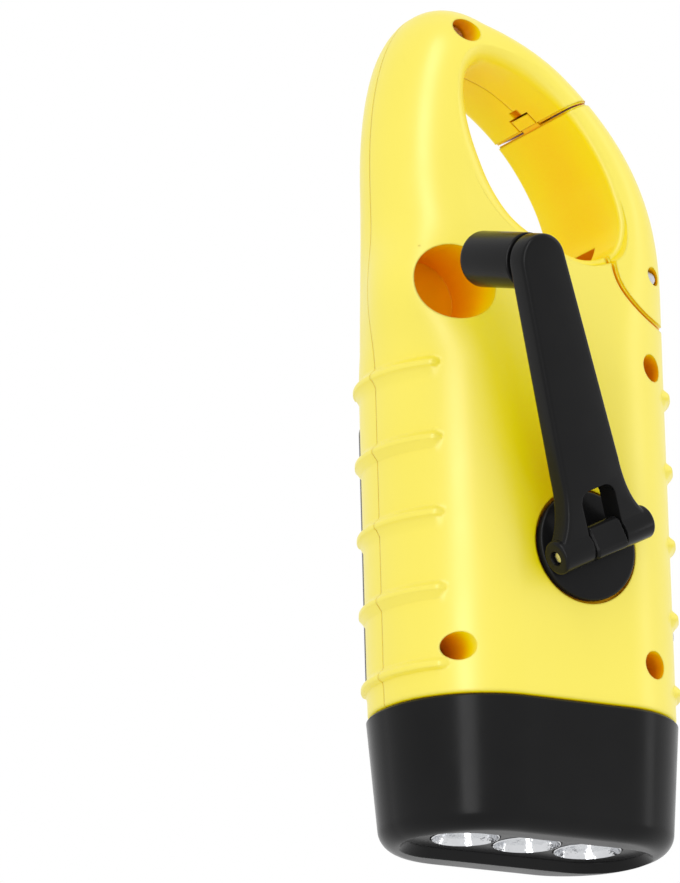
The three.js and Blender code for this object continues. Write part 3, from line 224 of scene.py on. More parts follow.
# Head and light
head_round = 3.2 * mm
head_taper = 1.6 * mm
head_proud = 0.3 * mm
head_edge = 0.4 * mm
head_room_wall = 3.5 * mm
collar_wall = 1.6 * mm
recess_half_width = 21 * mm
recess_radius = 8 * mm
recess_lip = 1.4 * mm
recess_mouth = 1.6
lamp_pitch = 11.5 * mm
cup_radius = 5.3 * mm
cup_throat = 2.7 * mm
cup_rim = 0.35 * mm
cup_depth = 7 * mm
rim_proud = 0.15 * mm
rim_edge = 0.12 * mm
mirror_back = 9.5 * mm
flange_low = 9.4 * mm
flange_spread = 1.2 * mm
lamp_radius = 2.35 * mm
lamp_collar = 2.9 * mm
lamp_collar_height = 1 * mm
recess_floor = 1.5 * mm
face_thickness = 0.8 * mm
window_reach = 4.5 * mm
window_dome = 0.5 * mm
window_thickness = 0.6 * mm
lamp_places = [-lamp_pitch, 0, lamp_pitch]
head_round_steps = 14
head_steps = 12
inside_steps = 12
lip_steps = 8
cup_steps = 14
lamp_steps = 10
window_steps = 8

# Solar panel
panel_x = -2.3 * mm
panel_bottom = 26.7 * mm
panel_half = 16.4 * mm
panel_corner_height = 47 * mm
panel_sagitta = 4.4 * mm
panel_corner = 3.5 * mm
panel_proud = 1.6 * mm
panel_seat = 3.4 * mm
panel_round = 1.5 * mm
tray_half = 14.2 * mm
tray_foot = 3.1 * mm
tray_height = 44.6 * mm
tray_corner = 1.2 * mm
tray_depth = 1.5 * mm
tray_slope = 0.7 * mm
panel_lip = 0.35 * mm
panel_top_steps = 32
window_foot = 6.5 * mm
window_half = 10.6 * mm
window_height = 38.6 * mm
window_corner = 1.6 * mm
window_offset = 1 * mm
window_x = panel_x + window_offset
cell_spread = 1.5 * mm
cell_depth = 2.2 * mm
strip_count = 9
line_half = 0.15 * mm
line_blur = 1.6

# Button on the gate side
button_z = 38 * mm
button_radius = 4.5 * mm
button_proud = 2.6 * mm
button_crown = 1.2
button_flange = 6.1 * mm
button_flange_height = 1.1 * mm
button_dish_width = 1 * mm
button_dish_depth = 0.5 * mm
button_pocket = 6.4 * mm
button_steps = 16

# Surfaces
noise_detail = 3
drift = (0.3, 0.7)
cloud_scale = 45
gloss_scale = 160
grain_scale = 2600
edge_samples = 4
metal_shade = 0.86
metal_gloss = (0.8, 1.2)
tint_scale = 60
lamp_tint_scale = 900
window_ripple = 420
window_ripple_depth = 0.15 * mm
# Ambient occlusion that paints warm shade and less shine into the yellow's hollows: its reach and
# samples
painted_warmth_reach = 28 * mm
painted_warmth_samples = 8
cell_cloud_scale = 30
cell_cloud_share = 0.12

# Plastics: two colours, two roughnesses, grain depth, edge radius and strength of the shine
plastics = {
    "yellow_plastic": ((0.93, 0.8, 0.1), (0.95, 0.82, 0.11), 0.3, 0.36, 0.003 * mm, 0.45 * mm, 0.5),
    "black_plastic": (
        (0.008, 0.008, 0.0083), (0.011, 0.011, 0.0113), 0.2, 0.27, 0.004 * mm, 0.25 * mm, 0.1,
    ),
    "gloss_black_plastic": (
        (0.009, 0.009, 0.0093), (0.012, 0.012, 0.0123), 0.14, 0.2, 0.003 * mm, 0.5 * mm, 0.4,
    ),
    "gear_plastic": ((0.76, 0.73, 0.64), (0.82, 0.79, 0.7), 0.4, 0.5, 0.003 * mm, 0, 0.5),
    "board_green": ((0.015, 0.1, 0.04), (0.025, 0.14, 0.05), 0.35, 0.5, 0.01 * mm, 0, 0.5),
    "wrap_green": ((0.02, 0.15, 0.05), (0.035, 0.19, 0.07), 0.25, 0.4, 0.006 * mm, 0, 0.5),
    "winding": ((0.4, 0.12, 0.045), (0.46, 0.15, 0.055), 0.3, 0.5, 0.02 * mm, 0, 0.5),
}

# Metals: colour, roughness, noise scale and grain depth
metals = {
    "steel": ((0.62, 0.62, 0.64), 0.28, 900, 0.004 * mm),
    "brass_metal": ((0.6, 0.42, 0.14), 0.3, 900, 0.004 * mm),
    "mirror_metal": ((0.7, 0.71, 0.73), 0.1, 240, 0.24 * mm),
}

# Light and floor
world_strength = 0.88
floor_half = 3
floor_drop = 0.02 * mm
floor_colour = (0.93, 0.93, 0.93, 1)

# Lamps: azimuth and elevation in degrees, distance, width and height in metres, power in watts
studio_lamps = {
    "key": (-47, 14, 0.9, 0.1, 2.2, 2.5),
    "side": (60, 12, 0.9, 0.2, 0.9, 1.1),
    "sheen": (-39, 14, 1, 0.28, 2.2, 9),
}
reflection_lamps = ["sheen"]

# Camera
camera_azimuth = -31
camera_elevation = -16.07
camera_roll = math.radians(1.49)
camera_distance = 1.103
camera_sensor = 36
pixels_per_metre = 6270
frame_width = 680
frame_height = 883
foot_pixel_x = 527.05
foot_pixel_y = 853.69

# Axes that follow from the sizes
socket_x = hub_x - socket_reach * math.sin(stowed_turn)
socket_z = hub_z + socket_reach * math.cos(stowed_turn)
pin_rear = half_depth - hub_recess + hub_thickness + pin_lift
hub_axis = (hub_x, 0, hub_z)
socket_axis = (socket_x, 0, socket_z)
gate_axis = (pin_x, 0, pin_z)
button_axis = (0, 0, button_z)


# Meshes

def made(name, vertices, faces):
    mesh = bpy.data.meshes.new(name)
    mesh.from_pydata([tuple(v) for v in vertices], [], faces)
    mesh.validate()
    piece = bpy.data.objects.new(name, mesh)
    bpy.context.scene.collection.objects.link(piece)
    return piece


def loft(name, rings):
    """A closed solid through rings of equally many points."""
    count = len(rings[0])
    faces = []
    for level in range(len(rings) - 1):
        start = level * count
        for i in range(count):
            j = (i + 1) % count
            faces.append((start + i, start + j, start + j + count, start + i + count))
    last = (len(rings) - 1) * count
    faces.append(tuple(reversed(range(count))))
    faces.append(tuple(range(last, last + count)))
    return made(name, [point for ring in rings for point in ring], faces)


def quarter_turns(steps):
    """Angles from nothing to a right angle, in equal steps."""
    return [math.pi / 2 * i / steps for i in range(steps + 1)]


def arc(x, z, radius, start, end, steps=12):
    """Points on an arc, with angles in degrees."""
    angles = [math.radians(start + (end - start) * i / steps) for i in range(steps + 1)]
    return [(x + radius * math.cos(a), z + radius * math.sin(a)) for a in angles]


def offset(outline, distances):
    """An outline that runs anticlockwise, moved outwards by one distance or by one for each point."""
    moved = []
    if not isinstance(distances, list):
        distances = [distances] * len(outline)
    for i, ((x, z), distance) in enumerate(zip(outline, distances)):
        ax, az = outline[i - 1]
        bx, bz = outline[(i + 1) % len(outline)]
        before = Vector((x - ax, z - az)).normalized()
        after = Vector((bx - x, bz - z)).normalized()
        way = (before + after).normalized()
        reach = distance / max(way.dot(before), sharpest_turn)
        moved.append((x + way.y * reach, z - way.x * reach))
    return moved


def plate(name, outline, low, high, round_low=0, round_high=0, steps=4):
    """A plate with its outline in X and Z, between two Y, and round edges."""
    rings = []
    turns = quarter_turns(steps)
    for angle in turns if round_high else [0]:
        inset = round_high * (1 - math.sin(angle))
        rings.append((high - round_high * (1 - math.cos(angle)), inset))
    for angle in reversed(turns) if round_low else [0]:
        inset = round_low * (1 - math.sin(angle))
        rings.append((low + round_low * (1 - math.cos(angle)), inset))
    solid = []
    for y, inset in rings:
        outline_here = offset(outline, -inset) if inset else outline
        solid.append([(x, y, z) for x, z in outline_here])
    return loft(name, solid)


def turned(name, profile, way="Y", at=(0, 0, 0), sides=96):
    """A turned solid: the profile's pairs are a radius and a height along the axis."""
    rings = []
    tiny = 0.001 * mm
    for radius, height in profile:
        ring = []
        for i in range(sides):
            angle = 2 * math.pi * i / sides
            across = max(radius, tiny) * math.cos(angle)
            up = max(radius, tiny) * math.sin(angle)
            spots = {"X": (height, across, up), "Y": (up, height, across), "Z": (across, up, height)}
            ring.append(tuple(a + b for a, b in zip(spots[way], at)))
        rings.append(ring)
    return loft(name, rings)


def rod(name, radius, low, high, way="Y", at=(0, 0, 0), edge=0, sides=96):
    """A round bar, with round edges if an edge radius is given."""
    profile = rounded(radius, low, high, edge) if edge else [(radius, low), (radius, high)]
    return turned(name, profile, way, at, sides)


def rounded(radius, low, high, edge, steps=5):
    """A bar's profile with round edges."""
    turns = quarter_turns(steps)
    foot = [(radius - edge * (1 - math.sin(a)), low + edge * (1 - math.cos(a))) for a in turns]
    top = [(radius - edge * (1 - math.cos(a)), high - edge * (1 - math.sin(a))) for a in turns]
    return foot + top


def round_box(left, right, low, high, radius, steps=12):
    """A rectangle's outline with round corners."""
    return (
        arc(right - radius, low + radius, radius, -90, 0, steps)
        + arc(right - radius, high - radius, radius, 0, 90, steps)
        + arc(left + radius, high - radius, radius, 90, 180, steps)
        + arc(left + radius, low + radius, radius, 180, 270, steps)
    )


def block(name, low, high):
    across, deep, tall = zip(low, high)
    corners = [(x, y, z) for x in across for y in deep for z in tall]
    faces = [(0, 1, 3, 2), (4, 6, 7, 5), (0, 4, 5, 1), (2, 3, 7, 6), (0, 2, 6, 4), (1, 5, 7, 3)]
    return made(name, corners, faces)


def combined(piece, operation, *others):
    """Cuts, joins or meets a piece with others, which are used up."""
    for other in others:
        modifier = piece.modifiers.new("combined", "BOOLEAN")
        modifier.operation = operation
        modifier.solver = "MANIFOLD"
        modifier.object = other
    bpy.context.view_layer.update()
    graph = bpy.context.evaluated_depsgraph_get()
    mesh = bpy.data.meshes.new_from_object(piece.evaluated_get(graph))
    piece.modifiers.clear()
    piece.data = mesh
    for other in others:
        bpy.data.objects.remove(other)
    return piece


def cut(piece, *others):
    return combined(piece, "DIFFERENCE", *others)


def join(piece, *others):
    return combined(piece, "UNION", *others)


def common(piece, *others):
    return combined(piece, "INTERSECT", *others)


def copied(piece, name):
    twin = bpy.data.objects.new(name, piece.data.copy())
    bpy.context.scene.collection.objects.link(twin)
    return twin


def turned_outwards(piece):
    """Points the faces outwards."""
    form = bmesh.new()
    form.from_mesh(piece.data)
    bmesh.ops.recalc_face_normals(form, faces=form.faces)
    form.to_mesh(piece.data)
    form.free()
    return piece


def smooth(piece):
    piece.data.shade_smooth()
    piece.data.set_sharp_from_angle(angle=sharp_angle)


# Casing form

def quarter(share):
    return math.sqrt(max(0, 1 - share * share))


def eased(value, low, high):
    share = min(1, max(0, (value - low) / (high - low)))
    return share * share * (3 - 2 * share)


def arch_share(z, shoulder, rise_power, fall_power):
    """How much of the arch's reach is left at a height above its shoulder."""
    rise = min(1, max(0, (z - shoulder) / (overall_height - shoulder)))
    return (1 - rise ** rise_power) ** (1 / fall_power)


def back_edge(z):
    share = arch_share(z, back_shoulder, back_rise_power, back_fall_power)
    return apex_x - (half_width + apex_x) * share


def gate_edge(z):
    share = arch_share(z, gate_shoulder, gate_rise_power, gate_fall_power)
    return apex_x + (half_width - apex_x) * share


def depth_at(z):
    depth = half_depth - (half_depth - ring_half_depth) * eased(z, thin_start, thin_end)
    crown = max(0, (z - (overall_height - ring_half_depth)) / ring_half_depth)
    return depth * quarter(min(1, crown))


def bulge(z, degrees):
    """The swelling round the knob's socket."""
    along = (z - socket_z) / bulge_half_height
    round_share = (degrees - bulge_centre) / bulge_half_arc
    if abs(along) >= 1 or abs(round_share) >= 1:
        return 0
    upright = math.cos(math.pi / 2 * along) ** 2
    sideways = math.cos(math.pi / 2 * round_share) ** 2
    return bulge_rise * upright * sideways


def section(z, grow=0, steps=56):
    """The casing's outline at a height, moved outwards by a distance."""
    low = back_edge(z) - grow
    high = gate_edge(z) + grow
    depth = depth_at(z) + grow
    gate_radius = side_radius - (side_radius - gate_side_radius) * eased(z, thin_start, thin_end)
    back = min(side_radius + grow, depth, (high - low) / 2)
    gate = min(gate_radius + grow, back)
    ring = []
    corners = [
        (high - gate, gate - depth, gate, -90),
        (high - gate, depth - gate, gate, 0),
        (low + back, depth - back, back, 90),
        (low + back, back - depth, back, 180),
    ]
    for x, y, radius, start in corners:
        for i in range(steps + 1):
            degrees = start + 90 * i / steps
            angle = math.radians(degrees)
            reach = radius + bulge(z, degrees - 180)
            ring.append((x + reach * math.cos(angle), y + reach * math.sin(angle), z))
    return ring


def rib_height(z, x):
    """How far a rib stands proud at a place: a soft upper slope, a steep lower edge and round ends."""
    index = round((z - rib_lowest) / rib_pitch)
    if not 0 <= index < rib_count:
        return 0
    past = min(1, max(0, (abs(x) - rib_inner_end) / rib_round))
    reach = rib_half_height * math.sqrt(past * (2 - past))
    if reach <= 0:
        return 0
    share = (z - rib_lowest - index * rib_pitch) / reach
    if abs(share) >= 1:
        return 0
    lower = eased(share, -1, rib_steep_end)
    upper = 1 - eased(share, rib_soft_start, 1)
    return rib_proud * min(lower, upper) * min(1, past * rib_end_rise)


def ribbed(z):
    base = section(z)
    full = section(z, rib_proud)
    ring = []
    for low, high in zip(base, full):
        share = rib_height(z, high[0]) / rib_proud
        ring.append(tuple(a + (b - a) * share for a, b in zip(low, high)))
    return ring


def casing_levels(bottom):
    """The heights of the casing's rings, close together at the ribs and the crown."""
    levels = []
    z = bottom
    near_rib = rib_half_height * rib_margin
    top_rib = rib_lowest + (rib_count - 1) * rib_pitch + near_rib
    while z < overall_height - ring_half_depth * crown_start:
        levels.append(z)
        from_rib = abs((z - rib_lowest + rib_pitch / 2) % rib_pitch - rib_pitch / 2)
        z += rib_step if from_rib < near_rib and z < top_rib else plain_step
    start = levels[-1] + crown_step
    rise = overall_height - crown_flat - start
    for angle in quarter_turns(crown_steps):
        levels.append(start + rise * math.sin(angle))
    return levels


def casing_form():
    """The casing as one solid, with its ribs and a round foot."""
    rings = []
    for angle in quarter_turns(foot_steps)[:-1]:
        z = head_height + foot_round * (1 - math.cos(angle))
        base = section(head_height, -foot_round * (1 - math.sin(angle)))
        rings.append([(x, y, z) for x, y, _ in base])
    rings += [ribbed(z) for z in casing_levels(head_height + foot_round)]
    return loft("casing_form", rings)


def spline_through(points, steps):
    """A closed centripetal spline, as points and tangents."""
    curve = []
    count = len(points)
    least = 1e-6
    for i in range(count):
        knots = [Vector(points[(i + k - 1) % count]) for k in range(4)]
        times = [0]
        for a, b in zip(knots, knots[1:]):
            times.append(times[-1] + max(math.sqrt((b - a).length), least))
        for k in range(steps):
            t = times[1] + (times[2] - times[1]) * k / steps
            firsts = [
                knots[j] * ((times[j + 1] - t) / (times[j + 1] - times[j]))
                + knots[j + 1] * ((t - times[j]) / (times[j + 1] - times[j]))
                for j in range(3)
            ]
            seconds = [
                firsts[j] * ((times[j + 2] - t) / (times[j + 2] - times[j]))
                + firsts[j + 1] * ((t - times[j]) / (times[j + 2] - times[j]))
                for j in range(2)
            ]
            share = (t - times[1]) / (times[2] - times[1])
            curve.append(tuple(seconds[0].lerp(seconds[1], share)))
    return curve


def opening_outline(steps=14):
    places = []
    for x, z in opening_shares:
        places.append((opening_left + opening_width * x, opening_floor + opening_height * z))
    return spline_through(places, steps)


def opening_cutter(grow, flare_steps=10):
    """The carabiner's opening as a solid, flared softly at the back and crisply at the gate."""
    outline = opening_outline()
    if sum(x * b - a * z for (x, z), (a, b) in zip(outline, outline[1:] + outline[:1])) < 0:
        outline = outline[::-1]
    half = [(grow, ring_half_depth, turn) for turn in quarter_turns(flare_steps)]
    half.append((grow + flare_spread, half_depth + overrun, math.pi / 2))
    rings = [(1, spread, deep, turn) for spread, deep, turn in reversed(half)]
    rings += [(-1, spread, deep, turn) for spread, deep, turn in half]
    softness = []
    for x, _ in outline:
        crispness = crisp_share * eased((x - opening_left) / opening_width, 0, 1)
        softness.append(opening_flare * (1 - crispness))
    solid = []
    for side, spread, deep, turn in rings:
        moved = offset(outline, [spread + soft * (1 - math.cos(turn)) for soft in softness])
        depths = [side * (deep - soft * (1 - math.sin(turn))) for soft in softness]
        solid.append([(x, y, z) for (x, z), y in zip(moved, depths)])
    return loft("opening", solid)


def gate_region(grow, heel):
    """The space that belongs to the gate, moved outwards by a distance."""
    far = half_depth + overrun
    across, up = gate_inward_shares
    disc = rod("disc", tip_radius + grow, -far, far, at=gate_axis, sides=fine_sides)
    above = block(
        "above",
        (pin_x - foot_radius - grow, -far - overrun, pin_z),
        (pin_x + tip_radius * 2, far + overrun, pin_z + tip_radius * 2),
    )
    inward = block(
        "inward",
        (opening_left + opening_width * across, -far - overrun, opening_floor + opening_height * up),
        (pin_x, far + overrun, overall_height + overrun),
    )
    foot = rod("foot", foot_radius + grow + heel, -far, far, at=gate_axis, sides=foot_sides)
    return join(common(disc, join(above, inward)), foot)


def latch(grow, relief):
    """The hook on the gate's tip."""
    inner = tip_radius - latch_reach
    outer = tip_radius + latch_reach + grow
    start = latch_angle - latch_spread / 2 - math.degrees(grow / tip_radius)
    end = latch_angle + latch_spread / 2 + relief
    outline = arc(pin_x, pin_z, outer, start, end) + arc(pin_x, pin_z, inner, end, start)
    half = latch_half_depth + grow
    return plate("latch", outline, -half, half)


def joint_groove():
    """A shallow channel in the outer skin along the gate's joints."""
    levels = [groove_low + groove_height * i / groove_steps for i in range(groove_steps + 1)]
    skin = loft("skin", [section(z, -groove_depth) for z in levels])
    skin = cut(skin, opening_cutter(groove_depth))
    return cut(gate_region(gap + groove_half, heel_room), gate_region(-groove_half, 0), skin)


def catch_window():
    """The small square recess in the arch's inner wall, just beyond the gate's hook."""
    x, z = catch_place
    turn = math.radians(catch_turn)
    along = Vector((math.cos(turn), math.sin(turn))) * catch_half
    deep = Vector((-math.sin(turn), math.cos(turn))) * catch_depth
    ways = ((-along, deep), (along, deep), (along, -deep), (-along, -deep))
    corners = [tuple(Vector((x, z)) + a - b) for a, b in ways]
    return plate("catch", corners, -catch_half, catch_half)


def half_space(side):
    """The space on one side of the seam."""
    far = half_depth + overrun * 2
    low, high = (-far, -seam_gap) if side < 0 else (seam_gap, far)
    reach = overall_height
    return block("half", (-reach, low, -overrun), (reach, high, reach + overrun))


def hollow_form():
    """The room inside the casing."""
    levels = [head_height - overrun, thin_start]
    for i in range(1, hollow_blend_steps + 1):
        levels.append(thin_start + (thin_end - thin_start) * i / hollow_blend_steps)
    rise = overall_height - wall - crown_flat - thin_end
    for angle in quarter_turns(hollow_crown_steps)[1:-1]:
        levels.append(thin_end + rise * math.sin(angle))
    form = loft("hollow", [section(z, -wall, hollow_corner_steps) for z in levels])
    opening = opening_cutter(wall, hollow_flare_steps)
    return cut(form, opening, gate_region(gap + wall, heel_room))


def make_casing():
    """The whole form, the two halves and what is bored from the rear one."""
    form = cut(casing_form(), opening_cutter(0))
    hollow = hollow_form()
    shell = cut(copied(form, "shell"), hollow, gate_region(gap, heel_room), latch(gap, latch_relief))
    rear = common(copied(shell, "rear"), half_space(-1))
    front = common(shell, half_space(1))
    outside = -half_depth - overrun
    spots = [(x, 0, z) for x, z in screw_places]
    posts = [rod("post", screw_boss, -half_depth, -seam_gap, at=spot) for spot in spots]
    cup_width = socket_radius + socket_wall
    cup = rod("cup", cup_width, -half_depth - bulge_rise, -seam_gap, at=socket_axis)
    rear = join(rear, common(copied(form, "posts"), join(cup, *posts)))
    bores = [rod("bore", screw_bore, outside, -screw_floor, at=spot) for spot in spots]
    bores += [rod("hole", screw_hole, -half_depth, overrun, at=spot) for spot in spots]
    socket = rod("socket", socket_radius, outside, -socket_floor, at=socket_axis)
    recess = rod("recess", hub_radius + hub_play, outside, hub_recess - half_depth, at=hub_axis)
    shaft = rod("shaft", shaft_bore, -half_depth, -wall, at=hub_axis)
    return form, rear, front, bores + [socket, recess, shaft]


def coat(piece, material):
    piece.data.materials.clear()
    piece.data.materials.append(material)


def place(piece, node, body, material):
    """Puts a piece of the casing's own frame into the whole frame, in place of a node."""
    piece.name = node + "_fine"
    piece.data.transform(Matrix.Translation((axis_x, seam_y, 0)))
    coat(piece, material)
    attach(piece, body)
    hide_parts(node)


# Finishes

def feed(tree, node, inputs):
    """Gives a node's inputs, by name or number, a value or the socket that feeds them."""
    for key, value in inputs.items():
        if isinstance(value, bpy.types.NodeSocket):
            tree.links.new(value, node.inputs[key])
        else:
            node.inputs[key].default_value = value


def add_node(tree, kind, inputs=None):
    node = tree.nodes.new(kind)
    feed(tree, node, inputs or {})
    return node


def worked_out(tree, operation, inputs):
    """The result of a sum or comparison of values."""
    node = add_node(tree, "ShaderNodeMath")
    node.operation = operation
    feed(tree, node, inputs)
    return node.outputs[0]


def mixed(tree, share, first, second):
    """A colour between two."""
    node = add_node(tree, "ShaderNodeMix")
    node.data_type = "RGBA"
    feed(tree, node, {"Factor": share, "A": first, "B": second})
    return node.outputs["Result"]


def empty_material(name):
    material = bpy.data.materials.new(name)
    material.use_nodes = True
    material.node_tree.nodes.clear()
    return material, material.node_tree


def shaded_material(name):
    material, tree = empty_material(name)
    shader = add_node(tree, "ShaderNodeBsdfPrincipled")
    add_node(tree, "ShaderNodeOutputMaterial", {0: shader.outputs[0]})
    return material, tree, shader


def object_place(tree):
    return add_node(tree, "ShaderNodeTexCoord").outputs["Object"]


def noise(tree, scale):
    inputs = {"Scale": scale, "Detail": noise_detail, "Vector": object_place(tree)}
    return add_node(tree, "ShaderNodeTexNoise", inputs).outputs[0]


def grey(value):
    return (value, value, value)


def ramp(tree, source, stops):
    """A colour or value that follows a source from 0 to 1."""
    band = add_node(tree, "ShaderNodeValToRGB", {0: source})
    elements = band.color_ramp.elements
    while len(elements) < len(stops):
        elements.new(0.5)
    for element, (position, colour) in zip(elements, stops):
        element.position = position
        element.color = (*colour, 1)
    return band.outputs[0]


def drifting(tree, scale, low, high):
    """A colour that drifts over the surface between two."""
    return ramp(tree, noise(tree, scale), list(zip(drift, (low, high))))


def grained(tree, shader, scale, depth, edge=0):
    """Fine surface grain, over edges that are softened by a radius."""
    inputs = {"Strength": 1, "Distance": depth, "Height": noise(tree, scale)}
    bump = add_node(tree, "ShaderNodeBump", inputs)
    if edge:
        soft = add_node(tree, "ShaderNodeBevel", {"Radius": edge})
        soft.samples = edge_samples
        feed(tree, bump, {"Normal": soft.outputs[0]})
    feed(tree, shader, {"Normal": bump.outputs[0]})


def moulded(name):
    """Moulded plastic: a faint cloud in its colour and gloss, and a fine grain."""
    low, high, rough_low, rough_high, grain, edge, specular = plastics[name]
    material, tree, shader = shaded_material(name)
    feed(tree, shader, {
        "Base Color": drifting(tree, cloud_scale, low, high),
        "Roughness": drifting(tree, gloss_scale, grey(rough_low), grey(rough_high)),
        "Specular IOR Level": specular,
    })
    grained(tree, shader, grain_scale, grain, edge)
    return material


def metal(name):
    colour, rough, scale, grain = metals[name]
    material, tree, shader = shaded_material(name)
    dark = tuple(c * metal_shade for c in colour)
    glosses = [grey(rough * share) for share in metal_gloss]
    feed(tree, shader, {
        "Base Color": drifting(tree, scale, dark, colour),
        "Metallic": 1,
        "Roughness": drifting(tree, scale * 2, *glosses),
    })
    grained(tree, shader, scale * 2, grain)
    return material


def window_material():
    material, tree, shader = shaded_material("clear_plastic")
    feed(tree, shader, {
        "Base Color": drifting(tree, tint_scale, (0.9, 0.93, 0.96), (0.95, 0.97, 1)),
        "Roughness": 0.04,
        "Alpha": 0.12,
    })
    grained(tree, shader, window_ripple, window_ripple_depth)
    return material


def lamp_material():
    material, tree, shader = shaded_material("lamp_clear")
    feed(tree, shader, {
        "Base Color": drifting(tree, lamp_tint_scale, (0.75, 0.78, 0.8), (0.95, 0.96, 0.98)),
        "Roughness": 0.05,
        "Alpha": 0.75,
        "Emission Color": (0.9, 0.95, 1, 1),
        "Emission Strength": 0.25,
    })
    return material


def yellow_material():
    """Yellow moulded plastic with painted shade in its hollows: ambient occlusion paints a deeper
    orange there, standing in for warm bounce light and shade, and paints less shine there too.
    """
    material = moulded("yellow_plastic")
    tree = material.node_tree
    shader = tree.nodes["Principled BSDF"]
    outer = shader.inputs["Base Color"].links[0].from_socket
    near = add_node(tree, "ShaderNodeAmbientOcclusion", {"Distance": painted_warmth_reach})
    near.samples = painted_warmth_samples
    openness = near.outputs["AO"]
    # Painted warm shade and bounce light: deep orange where the surface is enclosed
    painted_hollow_warmth = ramp(tree, openness, [(0.05, (1, 0.42, 0)), (0.25, (1, 0.56, 0)), (0.5, (1, 0.83, 0))])
    # How much of the painted warm shade takes the place of the plain yellow
    share = ramp(tree, openness, [(0.68, grey(1)), (0.79, grey(0))])
    # Painted shade on the shine: less specular in the hollows
    painted_hollow_shine = ramp(tree, openness, [(0.6, grey(0.08)), (0.88, grey(0.5))])
    feed(tree, shader, {"Specular IOR Level": painted_hollow_shine, "Base Color": mixed(tree, share, outer, painted_hollow_warmth)})
    return material


def cell_material():
    """The solar cell: copper brown, paler downwards, with a thin pale line between its strips."""
    material, tree, shader = shaded_material("solar_cell_film")
    split = add_node(tree, "ShaderNodeSeparateXYZ", {0: object_place(tree)})
    height = split.outputs["Z"]
    foot = panel_bottom + window_foot
    rise = worked_out(tree, "MULTIPLY_ADD", {0: height, 1: 1 / window_height, 2: -foot / window_height})
    cloud = noise(tree, cell_cloud_scale)
    cloudy = worked_out(tree, "MULTIPLY_ADD", {0: cloud, 1: cell_cloud_share, 2: rise})
    shades = [(0.08, (0.6, 0.3, 0.16)), (0.5, (0.45, 0.18, 0.1)), (1, (0.3, 0.11, 0.055))]
    base = ramp(tree, cloudy, shades)
    pitch = window_height / strip_count
    strip = worked_out(tree, "MULTIPLY_ADD", {0: height, 1: 1 / pitch, 2: -foot / pitch})
    part = worked_out(tree, "FRACT", {0: strip})
    sharp = line_half / pitch
    faded = sharp * line_blur
    stops = [(sharp, grey(1)), (faded, grey(0)), (1 - faded, grey(0)), (1 - sharp, grey(1))]
    lines = ramp(tree, part, stops)
    feed(tree, shader, {
        "Base Color": mixed(tree, lines, base, (0.55, 0.33, 0.24, 1)),
        "Roughness": 0.25,
        "Coat Weight": 0.2,
        "Coat Roughness": 0.05,
    })
    return material


yellow = yellow_material()
black = moulded("black_plastic")
gloss_black = moulded("gloss_black_plastic")
steel = metal("steel")
brass = metal("brass_metal")
mirror = metal("mirror_metal")
gear_white = moulded("gear_plastic")
board_green = moulded("board_green")
wrap_green = moulded("wrap_green")
winding_red = moulded("winding")
lens_clear = window_material()
cell_brown = cell_material()
lamp_clear = lamp_material()


# Head and light

def stadium(half, radius, steps=24):
    straight = half - radius
    return arc(straight, 0, radius, -90, 90, steps) + arc(-straight, 0, radius, 90, 270, steps)


def head_ring(z):
    share = (head_height - z) / head_height
    rise = max(0, head_round - z)
    inset = head_taper * share + head_round - math.sqrt(head_round ** 2 - rise ** 2)
    return level_ring(z, head_proud - inset)


def level_ring(z, grow, steps=56):
    """The outline of the casing's foot at any height, moved outwards by a distance."""
    return [(x, y, z) for x, y, _ in section(head_height, grow, steps)]


def stadium_rings(pairs):
    """Rings of the light opening at several heights, each with its own spread."""
    rings = []
    for z, spread in pairs:
        outline = stadium(recess_half_width + spread, recess_radius + spread)
        rings.append([(x, y, z) for x, y in outline])
    return rings


def make_head():
    """The head with its collar, its room and the light opening with three holes in its face."""
    rings = []
    for angle in quarter_turns(head_round_steps)[:-1]:
        rings.append(head_ring(head_round * (1 - math.cos(angle))))
    for i in range(head_steps + 1):
        rings.append(head_ring(head_round + (head_height - head_edge - head_round) * i / head_steps))
    rings.append(level_ring(head_height, head_proud - head_edge))
    head = loft("head", rings)
    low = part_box("head_shroud")[1].z
    outer = -wall - gap
    collar = loft("collar", [level_ring(head_height - wall, outer), level_ring(low, outer)])
    inside = loft("inside", [
        level_ring(mirror_back, -head_room_wall, inside_steps),
        level_ring(low + overrun, outer - collar_wall, inside_steps),
    ])
    lip = []
    for angle in quarter_turns(lip_steps):
        lip.append((recess_lip * math.sin(angle), recess_lip * (1 - math.sin(angle))))
    mouth = [(-overrun, recess_lip * recess_mouth)]
    light = loft("light", stadium_rings(mouth + lip + [(recess_floor, 0)]))
    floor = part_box("reflector")[1].z
    room = loft("room", stadium_rings([(recess_floor + face_thickness, 0), (floor + overrun, 0)]))
    top = recess_floor + face_thickness * 2
    holes = [rod("hole", cup_radius + cup_rim, 0, top, "Z", (x, 0, 0)) for x in lamp_places]
    return cut(join(head, collar), inside, light, room, *holes)


def make_reflector():
    """Three mirror cups whose rims stand just proud of the recess's floor."""
    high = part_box("reflector")[1].z
    back = recess_floor + face_thickness + gap / 2
    body = loft("mirrors", stadium_rings([(back, -gap), (mirror_back, -gap)]))
    flange = loft("flange", stadium_rings([(flange_low, flange_spread), (high, flange_spread)]))
    mouth = recess_floor - rim_proud
    rim_radius = cup_radius + cup_rim - gap / 2
    spots = [(x, 0, 0) for x in lamp_places]
    rims = [rod("rim", rim_radius, mouth, back + gap, "Z", spot, rim_edge) for spot in spots]
    profile = [(0, mouth - overrun), (cup_radius, mouth - overrun)]
    for i in range(cup_steps + 1):
        depth = i / cup_steps
        radius = math.sqrt(cup_radius ** 2 + (cup_throat ** 2 - cup_radius ** 2) * depth)
        profile.append((radius, mouth + cup_depth * depth))
    profile += [(cup_throat, high), (0, high + overrun)]
    cups = [turned("cup", profile, "Z", spot) for spot in spots]
    return cut(join(body, flange, *rims), *cups)


